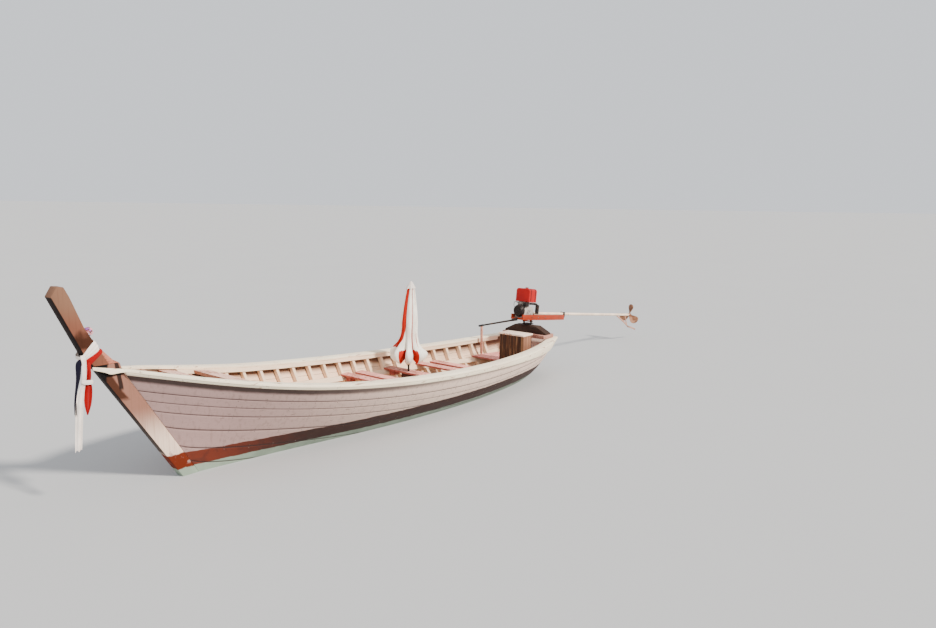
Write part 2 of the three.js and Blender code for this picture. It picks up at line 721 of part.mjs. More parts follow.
// Cylinder with cooling fins on the crankcase, up to the tank
const tank = { back: -6, front: 236, half: 148, low: 352, high: 592, round: 46, edge: 12 };
const cylinderRoot = block.high + FIT;
let cylinder = toSolid(box([70, -95, cylinderRoot], [190, 30, tank.low - FIT]));
const FINS = 5;
for (let i = 0; i < FINS; i++) {
  const z = cylinderRoot + 6 + i * 16;
  cylinder = cylinder.add(toSolid(box([52, -112, z], [208, 44, z + 7])));
}
const exhaustPort = { x: 40, y: 20, z: 318, half: 24 };
const portBoss = box(
  [exhaustPort.x, exhaustPort.y - exhaustPort.half, exhaustPort.z - exhaustPort.half],
  [80, exhaustPort.y + exhaustPort.half, exhaustPort.z + exhaustPort.half]
);
add("cylinder", toGeometry(cylinder.add(toSolid(portBoss))), "greyAlloy", engine);

const airCleaner = box([196, 50, cylinderRoot + 4], [290, 128, cylinderRoot + 80]);
add("air_cleaner", airCleaner, "darkSteel", engine);

// Fuel tank, its end view drawn inside the rounded edge
const tankSide = tank.half - tank.edge;
const tankBottom = tank.low + tank.edge;
const tankTop = tank.high - tank.edge;
const tankRound = tank.round - tank.edge;
const tankShape = new THREE.Shape();
tankShape.moveTo(-tankSide, tankBottom);
tankShape.lineTo(tankSide, tankBottom);
tankShape.lineTo(tankSide, tankTop - tankRound);
tankShape.absarc(tankSide - tankRound, tankTop - tankRound, tankRound, 0, Math.PI / 2, false);
tankShape.absarc(-tankSide + tankRound, tankTop - tankRound, tankRound, Math.PI / 2, Math.PI, false);
const tankGeometry = new THREE.ExtrudeGeometry(tankShape, {
  depth: tank.front - tank.back - 2 * tank.edge,
  bevelEnabled: true,
  bevelSize: tank.edge,
  bevelThickness: tank.edge,
  bevelSegments: 2,
  curveSegments: 5,
});
tankGeometry.rotateX(Math.PI / 2);
tankGeometry.rotateZ(Math.PI / 2);
tankGeometry.translate(tank.back + tank.edge, 0, 0);
const tankCap = bar([115, 0, tank.high - 10], [115, 0, tank.high + 22], 30, 26, 20);
add("fuel_tank", toGeometry(toSolid(tankGeometry).add(toSolid(tankCap))), "tankRed", engine);

const exhaustRoute = [
  [exhaustPort.x - FIT, exhaustPort.y, exhaustPort.z],
  [0, exhaustPort.y, exhaustPort.z],
  [-70, 52, 320],
  [-128, 84, 306],
  [-140, 92, 270],
];
const silencer = { x: -140, y: 92, low: 138, high: 302, radius: 36 };
const silencerDrum = bar(
  [silencer.x, silencer.y, silencer.low],
  [silencer.x, silencer.y, silencer.high],
  silencer.radius,
  silencer.radius,
  20
);
add("exhaust_pipe", toGeometry(toSolid(pipe(exhaustRoute, 21, 14)).add(toSolid(silencerDrum))), "darkSteel", engine);

// Tail: tube round the propeller shaft, its clamp, end bearing, and a skeg of a long strut and a brace
const TUBE = 27;
const tail = { start: block.back - FIT, end: -4130, hub: -4222 };
const tube = bar([tail.start, 0, SHAFT], [tail.end, 0, SHAFT], TUBE, TUBE - 2, 20);
const endBearing = bar([tail.end + 30, 0, SHAFT], [tail.end - 32, 0, SHAFT], 31, 24, 20);
const PROP_SHAFT = 12;
const SHAFT_INSET = 30;
const bearingBore = bar(
  [tail.end - 40, 0, SHAFT],
  [tail.end - 32 + SHAFT_INSET + FIT, 0, SHAFT],
  PROP_SHAFT + FIT,
  PROP_SHAFT + FIT,
  20
);
const tubeBody = toSolid(tube).add(toSolid(endBearing)).subtract(toSolid(bearingBore));
add("tail_tube", toGeometry(tubeBody), "paleSteel", engine);

const clampSolid = toSolid(box([-1250, -42, SHAFT - 66], [-1210, 42, SHAFT + 36]));
const clampBore = toSolid(bar([-1300, 0, SHAFT], [-1100, 0, SHAFT], TUBE + FIT, TUBE + FIT, 20));
add("tube_clamp", toGeometry(clampSolid.subtract(clampBore)), "darkSteel", engine);

const TUBE_AT_SKEG = 25.3;
const skegTop = SHAFT - TUBE_AT_SKEG - FIT;
const SKEG_HALF = 6;
const skegStrut = [
  [-3560, skegTop],
  [-4010, -58],
  [-4200, -150],
  [-4350, -168],
  [-4600, -216],
  [-4600, -180],
  [-4330, -130],
  [-4190, -113],
  [-4000, -12],
  [-3640, skegTop],
];
const skegBrace = [
  [-3988, skegTop],
  [-4122, -98],
  [-4158, -110],
  [-4024, skegTop],
];
const skeg = toSolid(sidePlate(skegStrut, SKEG_HALF)).add(toSolid(sidePlate(skegBrace, SKEG_HALF)));
add("skeg", toGeometry(skeg), "paleSteel", engine);

// Tiller from the frame forward, and its grip
const inEngine = (x, z) => {
  const [along, up] = toEngine(x, z);
  return new THREE.Vector3(along, 0, up);
};
const tillerRoot = inEngine(-3162, 1000);
const tillerTip = inEngine(-2052, 1019);
const GRIP = 112;
const alongTiller = tillerTip.clone().sub(tillerRoot);
const gripStart = tillerTip.clone().addScaledVector(alongTiller.clone().normalize(), -GRIP);
const tillerEnd = tillerTip.clone().addScaledVector(alongTiller.clone().normalize(), -GRIP - FIT);
const tillerRod = toSolid(bar(tillerRoot.toArray(), tillerEnd.toArray(), 17, 14, 14));
const tillerSocket = [
  [frame.front + FIT, 8],
  [frame.front + FIT, 60],
  [520, 26],
  [520, -4],
];
add("tiller", toGeometry(tillerRod.add(toSolid(sidePlate(tillerSocket, 19)))), "darkSteel", engine);
add("tiller_grip", bar(gripStart.toArray(), tillerTip.toArray(), 19, 17, 14), "darkSteel", engine);

// Propeller: hub and three blades set at a pitch
const HUB = 34;
const BLADES = 3;
const BLADE_TIP = 245;
const hubProfile = [[0, -58], [22, -58], [HUB, -40], [HUB, 44], [26, 54], [0, 54]];
const hubGeometry = turned(hubProfile, 20);
hubGeometry.rotateY(Math.PI / 2);
const propShaft = bar([-10, 0, 0], [tail.end - 32 + SHAFT_INSET - tail.hub, 0, 0], PROP_SHAFT, PROP_SHAFT, 20);
let propeller = toSolid(hubGeometry).add(toSolid(propShaft));
const BLADE_EDGE = 2.5;
const FIRST_BLADE = THREE.MathUtils.degToRad(-7);
const bladeSections = [
  // radius, half chord, half thickness, angle of the chord from the rotor's plane in degrees
  [18, 30, 10, 60],
  [80, 70, 9, 46],
  [145, 98, 8, 36],
  [195, 92, 7, 30],
  [230, 58, 6, 26],
  [BLADE_TIP, 24, 5, 25],
];
for (let k = 0; k < BLADES; k++) {
  const rings = bladeSections.map(([radius, chord, thick, angle]) => {
    const turn = THREE.MathUtils.degToRad(angle);
    const outline = [
      [-chord, -BLADE_EDGE],
      [-chord, BLADE_EDGE],
      [0, thick],
      [chord, BLADE_EDGE],
      [chord, -BLADE_EDGE],
      [0, -thick],
    ];
    return outline.map(([c, t]) => {
      const along = c * Math.cos(turn) - t * Math.sin(turn);
      const across = c * Math.sin(turn) + t * Math.cos(turn);
      return new THREE.Vector3(across, along, radius);
    });
  });
  const blade = loft(rings);
  blade.rotateX(FIRST_BLADE - (k * 2 * Math.PI) / BLADES);
  propeller = propeller.add(toSolid(blade));
}
const propellerMesh = add("propeller", toGeometry(propeller), "bronze", engine);
propellerMesh.position.set(tail.hub, 0, SHAFT);

// Parasol, closed: block under the thwart, pole and folded canopy
const thwart3 = thwarts[2];
const thwart3Low = thwartBottom(thwart3[1], thwart3[2]);
const parasolBase = box(
  [parasol.x - 70, parasol.y - 95, thwart3Low - 100],
  [parasol.x + 70, parasol.y + 95, thwart3Low - FIT]
);
add("parasol_base", parasolBase, "darkWood");
const poleFoot = thwart3Low;
const canopyTip = 1848;
add("parasol_pole", bar([parasol.x, parasol.y, poleFoot], [parasol.x, parasol.y, 1100], POLE, POLE, 14), "darkSteel");

// Canopy: radius by height, smooth and full above, in deep puffed folds at the hem, leaning aft and to port
const canopyRings = [
  // height, mean radius, fold depth
  [590, 188, 58],
  [655, 232, 66],
  [745, 224, 62],
  [810, 182, 42],
  [880, 156, 24],
  [940, 138, 14],
  [1010, 122, 10],
  [1235, 122, 8],
  [1390, 105, 7],
  [1600, 80, 6],
  [1745, 58, 4],
  [canopyTip, 9, 0],
];
const canopyHem = canopyRings[0][0];
const CANOPY_LEAN = { x: -27, y: 27 };
const FOLDS = 8;
const STEPS_PER_FOLD = 4;
const FOLD_TURN = THREE.MathUtils.degToRad(43);
const canopyLoft = loft(
  canopyRings.map(([z, radius, fold]) => {
    const ring = [];
    const up = (z - canopyHem) / (canopyTip - canopyHem);
    const [centreX, centreY] = [parasol.x + CANOPY_LEAN.x * up, parasol.y + CANOPY_LEAN.y * up];
    for (let i = 0; i < FOLDS * STEPS_PER_FOLD; i++) {
      const angle = (i / (FOLDS * STEPS_PER_FOLD)) * 2 * Math.PI;
      const r = radius + fold * Math.cos(FOLDS * (angle - FOLD_TURN));
      ring.push(new THREE.Vector3(centreX + r * Math.cos(angle), centreY + r * Math.sin(angle), z));
    }
    return ring;
  })
);
const poleBore = toSolid(
  bar([parasol.x, parasol.y, 400], [parasol.x, parasol.y, 1101], POLE + FIT, POLE + FIT, 14)
);
add("parasol_canopy", toGeometry(toSolid(canopyLoft).subtract(poleBore)), "canopyCloth");

// Cloth sashes wound round the prow post above the gunwale, each with a tail that hangs before the stem
const LEAN = THREE.MathUtils.degToRad(26);
const SLOPE = THREE.MathUtils.degToRad(39);
const COLLAR = { x: 4300, z: 1470, ahead: 94 };
const postHole = toSolid(
  sidePlate(
    [
      [4120, 1380],
      [4270, 1360],
      [4380, 1500],
      [4470, 1690],
      [4300, 1800],
      [4250, 1620],
    ],
    POST_HALF + FIT
  )
);
// A collar wound round the post, lower ahead, between two distances along it, and a strip through points
function collar(low, high, thick) {
  const rings = [low, high].map((distance) => {
    const x = COLLAR.x + Math.sin(LEAN) * distance;
    const z = COLLAR.z + Math.cos(LEAN) * distance;
    const half = POST_HALF + thick;
    const corners = [[COLLAR.ahead, half], [-COLLAR.ahead, half], [-COLLAR.ahead, -half], [COLLAR.ahead, -half]];
    return corners.map(([a, y]) => new THREE.Vector3(x + a * Math.cos(SLOPE), y, z - a * Math.sin(SLOPE)));
  });
  return toSolid(loft(rings)).subtract(postHole);
}
function strip(points, thin) {
  return toSolid(
    loft(
      points.map(([x, y, z, half]) => {
        const corners = [[half, thin], [-half, thin], [-half, -thin], [half, -thin]];
        return corners.map(([across, out]) => new THREE.Vector3(x + across, y + out, z));
      })
    )
  );
}
const CLOTH = 5;
const whiteTail = [
  // x, y, z, half width
  [4398, 84, 1534, 16],
  [4402, 109, 1500, 20],
  [4400, 112, 1462, 21],
  [4411, 112, 1286, 22],
  [4454, 112, 1150, 28],
  [4480, 112, 850, 32],
  [4498, 112, 592, 35],
];
const redTail = [
  [4346, 84, 1452, 18],
  [4354, 110, 1420, 19],
  [4362, 112, 1385, 20],
  [4367, 112, 1286, 20],
  [4380, 112, 1180, 29],
  [4384, 112, 1100, 34],
  [4398, 112, 945, 20],
];
const NAVY_SEAT = POST_HALF + 17 + FIT + CLOTH;
const navyTail = [
  [4388, NAVY_SEAT, 1486, 12],
  [4398, NAVY_SEAT, 1470, 18],
  [4440, NAVY_SEAT, 1448, 24],
  [4452, NAVY_SEAT, 1385, 24],
  [4460, NAVY_SEAT, 1295, 22],
  [4488, NAVY_SEAT, 1180, 14],
  [4502, NAVY_SEAT, 945, 12],
];
add("sash_white", toGeometry(collar(36, 112, 17).add(strip(whiteTail, CLOTH))), "whiteCloth");
add("sash_red", toGeometry(collar(-24, 35, 14).add(strip(redTail, CLOTH))), "redCloth");
add("sash_navy", toGeometry(strip(navyTail, CLOTH)), "navyCloth");

// Garland of flowers against the post's aft face
const garlandBall = new THREE.IcosahedronGeometry(1, 1);
garlandBall.scale(44, 62, 46);
garlandBall.translate(4312, 28, 1744);
const postRoom = sidePlate(postOutline.map(([x, z]) => [x - FIT, z]), POST_HALF + FIT);
add("garland", toGeometry(toSolid(garlandBall).subtract(toSolid(postRoom))), "flowers");

export default boat;
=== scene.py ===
# Longtail boat: the looks of its planked hull, parasol, sashes, engine and propeller tail.
# Metres, +X to the bow, +Y to port, +Z up, with the origin on the water amidships.
import random
from math import atan2, cos, degrees, hypot, pi, radians, sin

import bpy
from mathutils import Matrix, Vector


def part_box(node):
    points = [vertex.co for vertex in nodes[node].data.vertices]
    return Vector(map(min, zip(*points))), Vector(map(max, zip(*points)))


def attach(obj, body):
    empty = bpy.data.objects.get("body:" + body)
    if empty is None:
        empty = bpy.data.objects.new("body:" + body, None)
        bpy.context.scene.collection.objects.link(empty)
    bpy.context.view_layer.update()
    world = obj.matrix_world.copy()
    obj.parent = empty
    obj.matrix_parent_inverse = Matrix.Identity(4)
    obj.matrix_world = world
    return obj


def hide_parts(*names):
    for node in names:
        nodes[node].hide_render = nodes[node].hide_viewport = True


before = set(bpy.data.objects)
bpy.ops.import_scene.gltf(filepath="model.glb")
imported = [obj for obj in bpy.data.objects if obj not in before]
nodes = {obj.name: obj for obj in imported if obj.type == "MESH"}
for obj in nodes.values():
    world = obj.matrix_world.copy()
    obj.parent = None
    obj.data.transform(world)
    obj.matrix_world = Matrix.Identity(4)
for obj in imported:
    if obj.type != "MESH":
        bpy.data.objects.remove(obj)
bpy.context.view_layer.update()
SIDES = (("port", 1), ("starboard", -1))


# Finishes: a wrapped socket, and a material that is built from them
class Wire:
    """A socket among a material's nodes, added and multiplied like a number"""

    def __init__(self, finish, socket):
        self.finish = finish
        self.socket = socket

    def maths(self, operation, *terms):
        return self.finish.wire("ShaderNodeMath", {"operation": operation}, dict(enumerate(terms)))

    def __add__(self, other):
        return self.maths("ADD", self, other)

    __radd__ = __add__

    def __sub__(self, other):
        return self.maths("SUBTRACT", self, other)

    def __rsub__(self, other):
        return self.maths("SUBTRACT", other, self)

    def __mul__(self, other):
        return self.maths("MULTIPLY", self, other)

    def size(self):
        return self.maths("ABSOLUTE", self)

    def wave(self):
        return self.maths("SINE", self)

    def step(self, low, high):
        """0 below low and 1 above high, smooth between them"""
        settings = {"interpolation_type": "SMOOTHSTEP"}
        return self.finish.wire("ShaderNodeMapRange", settings, {0: self, 1: low, 2: high})

    def above(self, level):
        """0 below a level and 1 above it, with a narrow edge"""
        return self.step(level - 0.006, level + 0.006)


class Finish:
    """A material in the making, with its Principled shader"""

    def __init__(self, name, specular=0.5, metallic=0.0, sheen=0.0, coat=0.0):
        self.material = bpy.data.materials.new(name)
        self.material.use_nodes = True
        self.tree = self.material.node_tree
        self.shader = self.tree.nodes["Principled BSDF"]
        self.fill(self.shader, {"Metallic": metallic, "Specular IOR Level": specular,
                                "Sheen Weight": sheen, "Coat Weight": coat})
        self.place = self.wire("ShaderNodeTexCoord", output="Object")

    def fill(self, node, inputs):
        """Each input is linked to its wire, or set to its number or colour"""
        for key, value in inputs.items():
            if isinstance(value, Wire):
                self.tree.links.new(value.socket, node.inputs[key])
            else:
                node.inputs[key].default_value = value

    def wire(self, kind, settings=None, inputs=None, output=0):
        node = self.tree.nodes.new(kind)
        for key, value in (settings or {}).items():
            setattr(node, key, value)
        self.fill(node, inputs or {})
        return Wire(self, node.outputs[output])

    def part(self, vector, axis):
        return self.wire("ShaderNodeSeparateXYZ", None, {0: vector}, "XYZ".index(axis))

    def along(self, axis):
        return self.part(self.place, axis)

    def faces(self, axis):
        """How far the surface faces along an axis, from -1 to 1"""
        return self.part(self.wire("ShaderNodeNewGeometry", output="Normal"), axis)

    def across(self):
        """How far across its own width a point of a plank is"""
        return self.part(self.wire("ShaderNodeTexCoord", output="UV"), "Y")

    def drawn(self, name):
        return self.wire("ShaderNodeAttribute", {"attribute_name": name}, output="Fac")

    def cloud(self, size, detail=3.0, rough=0.55, shift=0.0):
        """Soft noise in patches of this size, one number or one for each axis"""
        sizes = size if isinstance(size, tuple) else (size, size, size)
        inputs = {"Vector": self.place, "Scale": [1 / s for s in sizes], "Location": (shift, shift, shift)}
        spot = self.wire("ShaderNodeMapping", None, inputs)
        noise = {"Vector": spot, "Scale": 1.0, "Detail": detail, "Roughness": rough}
        return self.wire("ShaderNodeTexNoise", None, noise)

    def coated(self, colour, *coats):
        """The colour under coats of others, each given as its share and colour"""
        for share, coat in coats:
            under, over = [c if isinstance(c, Wire) else (*c, 1) for c in (colour, coat)]
            colour = self.wire("ShaderNodeMix", {"data_type": "RGBA"}, {0: share, 6: under, 7: over}, 2)
        return colour

    def patchy(self, paint, size, dark, light):
        """A paint that varies between two shades in patches"""
        return self.coated(shade(paint, dark), (self.cloud(size).step(0.3, 0.7), shade(paint, light)))

    def done(self, colour, rough, height=None, depth=0.002):
        """The material in this colour and roughness, with bumps as deep as this where there is a height"""
        self.fill(self.shader, {"Base Color": colour, "Roughness": rough})
        if height:
            bumps = {"Height": height, "Distance": depth, "Strength": 0.6}
            self.fill(self.shader, {"Normal": self.wire("ShaderNodeBump", None, bumps)})
        return self.material


def shade(colour, factor):
    return tuple(min(1.0, c * factor) for c in colour)


GRAIN = {"x": (0.5, 0.009, 0.009), "y": (0.009, 0.5, 0.009), "z": (0.009, 0.009, 0.5)}
DIRT = (0.10, 0.07, 0.05)
STAIN = (0.07, 0.045, 0.03)
RUST = (0.20, 0.085, 0.035)
# near black, for a stain on the stem's head and for painted shadow and shade on it
BLACK_STAIN_AND_SHADE = (0.003, 0.002, 0.002)
CREAM = (0.99, 0.81, 0.60)
# red band aft of the bow, near black: painted shade
RED_BAND_SHADED_AFT = (0.034, 0.008, 0.004)
RED_BOW = (0.13, 0.018, 0.005)
# topsides at the bow: pinker, and darker as painted shade
WHITE_BOW_SHADED = (0.40, 0.255, 0.232)
WHITE_AFT = (0.80, 0.60, 0.49)
# pale bottom paint, tinted green-grey and darkened as painted reflection of the water
PALE_WITH_WATER_REFLECTION = (0.26, 0.32, 0.245)
BAND_LOW = 0.095
BAND_HIGH = 0.268
THREAD = 0.0022


def timber(name, paint, wood, wear, grain="x", shade_and_grime=0.25, edges=None):
    """Painted timber worn through to the wood in patches, with grain and dirt, and a darker colour as painted
    shade on faces that do not face up
    """
    f = Finish(name, 0.35)
    lines, chips = f.cloud(GRAIN[grain], 4), f.cloud(0.035)
    bare = f.cloud(0.45, 4) * 0.45 + chips * 0.35 + lines * 0.3
    bare = bare.step(0.72 - wear * 0.4, 0.76 - wear * 0.4)
    timbered = f.coated(shade(wood, 0.6), (lines.step(0.3, 0.7), shade(wood, 1.2)))
    dirt = f.cloud(0.16, 5, shift=7.0).step(0.5, 0.78) * shade_and_grime
    colour = f.coated(f.patchy(paint, 0.9, 0.9, 1.05), (lines.step(0.55, 0.8) * 0.3, shade(paint, 0.72)),
                      (bare, timbered), (dirt, DIRT))
    # faces that do not face up take the darker colour: painted shade
    if edges:
        colour = f.coated(colour, ((1 - f.faces("Z").step(0.45, 0.8)) * 0.85, edges))
    return f.done(colour, 0.62 + bare * 0.15 + lines * 0.12, lines * 0.6 - bare * 0.8 + chips * 0.2, 0.0012)


def raw_timber(name, light, dark, stain=0.4):
    """Bare weathered timber with its grain athwart"""
    f = Finish(name, 0.3)
    lines = f.cloud(GRAIN["y"], 5, 0.65)
    colour = f.coated(dark, (lines.step(0.3, 0.72), light), (f.cloud(0.2, 5).step(0.45, 0.75) * stain, STAIN))
    return f.done(colour, 0.8 + lines * 0.12, lines, 0.0018)


def painted_steel(name, paint, rust=0.3, rough=0.45, metallic=0.0, coat=0.0):
    """Painted steel with faded patches, chips and rust"""
    f = Finish(name, 0.25, metallic, coat=coat)
    blotch, chips = f.cloud(0.12, 5), f.cloud(0.012)
    rusted = (blotch * 0.6 + chips * 0.4).step(0.66 - rust * 0.25, 0.72 - rust * 0.25)
    colour = f.coated(f.patchy(paint, 0.25, 0.82, 1.08), (rusted, RUST))
    return f.done(colour, rough + rusted * 0.35 + blotch * 0.1, chips * 0.5 - rusted * 0.5, 0.0008)


def bare_metal(name, light, dark, rough, scale=0.05):
    """Bare cast or worn metal with oily patches"""
    f = Finish(name, metallic=0.75)
    patch = f.cloud(scale, 5)
    colour = f.coated(light, (patch.step(0.35, 0.7), dark))
    return f.done(colour, rough + patch * 0.25, f.cloud(0.004, 2), 0.0004)


def hull_paint(name, seams=True):
    """Pinkish white topsides, creamier aft, the red band and the pale bottom, with streaks, dirt and seams,
    and painted light: shade that darkens the topsides to the bow and the band aft, the water's reflection on
    the bottom, and the wale's shadow below it
    """
    f = Finish(name, 0.35)
    x, z = f.along("X"), f.along("Z")
    forward = x.step(-0.6, 3.4)
    lines, ragged = f.cloud((0.6, 0.02, 0.010), 4), f.cloud(0.12, 5)
    height = z + (ragged - 0.5) * 0.030
    streaks = f.cloud((0.035, 0.035, 0.6), 4, shift=3.0).step(0.5, 0.72)
    scuffs = f.cloud((0.22, 0.05, 0.03), 5, shift=11.0).step(0.66, 0.71)
    # the topsides grow pinker and darker towards the bow; the darkness is painted shade
    white = f.coated(WHITE_AFT, (forward, WHITE_BOW_SHADED))
    grey = f.coated(shade(WHITE_AFT, 0.7), (forward, shade(WHITE_BOW_SHADED, 0.7)))
    topsides = f.coated(white, (f.cloud(1.1).step(0.35, 0.75) * 0.25, grey),
                        (lines.step(0.5, 0.75) * 0.4, grey), (streaks * 0.28, (0.15, 0.085, 0.07)),
                        (scuffs * 0.6, (0.16, 0.10, 0.08)))
    # the red band is brick red at the bow and near black further aft: the dark part is painted shade
    red = f.coated(RED_BAND_SHADED_AFT, ((x + (ragged - 0.5) * 0.8).step(1.9, 3.1), RED_BOW),
                   (f.cloud(0.10, 5, shift=5.0).step(0.45, 0.75) * 0.45, (0.025, 0.008, 0.006)))
    # the pale bottom is green-grey and dark: painted reflection of the water
    pale = f.coated(PALE_WITH_WATER_REFLECTION, (f.cloud(0.2, 4).step(0.4, 0.7) * 0.5, shade(PALE_WITH_WATER_REFLECTION, 0.62)))
    # a dark strip under the wale, strongest towards the bow: painted shadow of the wale, with some dirt
    high_up = f.drawn("high_up") + (ragged - 0.5) * 0.03
    shade_and_grime = high_up.step(0.125, 0.178) * (x.step(-1.0, 2.6) * 0.65 + 0.25)
    colour = f.coated(red, (height.above(BAND_HIGH), topsides), (1 - height.above(BAND_LOW), pale),
                      (shade_and_grime, (0.030, 0.014, 0.009)))
    bump = lines * 0.5 + ragged * 0.2 - scuffs * 0.4
    if seams:
        edge = (f.across() - 0.5).size().step(0.450, 0.485)
        colour = f.coated(colour, (edge * 0.85, (0.035, 0.016, 0.013)))
        bump = bump - edge * 0.8
    return f.done(colour, 0.55 + ragged * 0.2, bump)


def cream_wale(name):
    """Cream paint on the wale and its cap, worn to red-brown under-paint in patches"""
    f = Finish(name, 0.35)
    lines = f.cloud((0.6, 0.012, 0.012), 4)
    worn = f.cloud((0.30, 0.08, 0.03), 5).step(0.62, 0.68)
    spots = f.cloud(0.05, 4, shift=9.0).step(0.62, 0.7)
    colour = f.coated(f.patchy(CREAM, 0.7, 0.93, 1.08), (lines.step(0.55, 0.78) * 0.3, shade(CREAM, 0.68)),
                      (worn * 0.75, (0.30, 0.10, 0.06)), (spots * 0.5, (0.25, 0.19, 0.15)))
    return f.done(colour, 0.5 + lines * 0.2, lines - worn, 0.0015)


def frame_paint(name, cream):
    """Cream paint inside the hull, redder towards the bilge, and dark under the inwale with painted shade and
    dirt
    """
    f = Finish(name, 0.3)
    lines = f.cloud((0.012, 0.012, 0.4), 4)
    bilge = (1 - f.along("Z").step(0.0, 0.42)) * f.cloud(0.15, 5).step(0.25, 0.7)
    # a dark band under the inwale: painted shade of the inwale, with some dirt
    shade_and_grime = f.drawn("high_up").step(0.060, 0.140)
    colour = f.coated(f.patchy(cream, 0.5, 0.9, 1.05), (lines.step(0.5, 0.75) * 0.35, shade(cream, 0.6)),
                      (bilge * 0.7, (0.16, 0.07, 0.045)), (shade_and_grime * 0.85, (0.10, 0.032, 0.014)))
    return f.done(colour, 0.6 + lines * 0.15, lines, 0.0012)


def post_timber(name):
    """The prow post's wood: sun-bleached at the head, dark where it has worn, and near black on its fore
    face, dark paint deepened by painted shade
    """
    f = Finish(name, 0.12)
    z = f.along("Z")
    lines = f.cloud((0.012, 0.012, 0.5), 5, 0.65)
    worn = (1 - (z + (f.cloud(0.12, 4) - 0.5) * 0.25).step(1.66, 1.80)) * z.step(1.56, 1.6)
    # fore darkens the forward face to near black: painted shade over dark paint
    fore = f.faces("X").step(0.35, 0.6) * (1 - f.faces("Z").step(-0.3, -0.1))
    colour = f.coated((0.19, 0.070, 0.041), (z.step(1.78, 2.05), (0.19, 0.095, 0.057)),
                      (lines.step(0.5, 0.75) * 0.45, (0.07, 0.03, 0.018)),
                      (worn * 0.85, (0.026, 0.007, 0.002)), (fore * 0.95, (0.006, 0.004, 0.004)))
    return f.done(colour, 0.72 + lines * 0.15, lines)


def stem_paint(name):
    """Pinkish white stem, black and brown at its head, red at its foot, with painted shadow under the cap and
    painted shade on its forward face
    """
    f = Finish(name, 0.12)
    x, z = f.along("X"), f.along("Z")
    lines = f.cloud((0.015, 0.015, 0.4), 4)
    ragged = (f.cloud(0.10, 5) - 0.5) * 0.05
    height = z + ragged
    brown = height.step(0.98, 1.03) * (x - z * 0.62 + ragged).step(3.325, 3.355)
    # corner blackens the head's fore corner, runs is a black stain down the head, and shadow is painted
    # shadow under the cap
    corner = (x + z * 0.16 + ragged * 0.5).step(4.360, 4.385) * z.step(1.12, 1.16)
    runs = (1 - (x - z * 0.14 - 3.872 + ragged * 0.5).size().step(0.016, 0.028)) * z.step(1.09, 1.13)
    shadow = (z + ragged * 0.4).step(1.255, 1.280) * (1 - z.step(1.325, 1.340))
    # nose darkens the stem's forward face: painted shade
    nose = f.faces("X").step(0.6, 0.75) * z.step(0.22, 0.34)
    bared = f.cloud(0.07, 4, shift=2.0).step(0.56, 0.64) * z.step(0.12, 0.16) * (1 - z.step(0.3, 0.34))
    colour = f.coated((0.84, 0.62, 0.48), (z.step(0.40, 0.90), (0.26, 0.12, 0.083)),
                      (lines.step(0.45, 0.75) * 0.4, (0.20, 0.095, 0.06)),
                      (brown * 0.95, (0.050, 0.015, 0.006)),
                      (corner, BLACK_STAIN_AND_SHADE), (runs * 0.9, BLACK_STAIN_AND_SHADE), (shadow * 0.9, BLACK_STAIN_AND_SHADE),
                      (nose * 0.92, (0.010, 0.006, 0.005)),
                      (1 - height.step(BAND_HIGH, BAND_HIGH + 0.02), RED_BOW),
                      (bared * 0.8, (0.36, 0.23, 0.20)), (1 - height.above(BAND_LOW), PALE_WITH_WATER_REFLECTION))
    return f.done(colour, 0.6 + lines * 0.15, lines, 0.0018)


def crate_boards(name, dark, light, run):
    """Stained crate boards with pale runs down them"""
    f = Finish(name, 0.3)
    lines = f.cloud((0.02, 0.02, 0.5), 4)
    runs = f.cloud((0.05, 0.05, 0.7), shift=4.0).step(0.56, 0.66)
    colour = f.coated(dark, (lines.step(0.35, 0.7), light), (runs * 0.7, run))
    return f.done(colour, 0.7 + lines * 0.15, lines, 0.0015)


def cloth(name, colour, second=None):
    """Woven cloth, with a second colour where the piece's stripe attribute is above nought"""
    f = Finish(name, 0.12, sheen=0.06)
    tone = f.coated(shade(colour, 0.86), (f.cloud(0.18, 4).step(0.35, 0.7), shade(colour, 1.05)))
    if second:
        stripe = (f.drawn("stripe") + (f.cloud(0.02) - 0.5) * 0.004).step(-0.0015, 0.0015)
        tone = f.coated(tone, (stripe, f.coated(shade(second, 0.75), (f.cloud(0.2, 4), shade(second, 1.1)))))
    tone = f.coated(tone, (f.cloud(0.09, 5, shift=6.0).step(0.58, 0.8) * 0.3, shade(colour, 0.42)))
    warp, weft = [(f.along(axis) * (2 * pi / THREAD)).wave() for axis in "XZ"]
    return f.done(tone, 0.92, warp * weft * 0.5 + f.cloud(0.03) * 2.0, 0.0008)


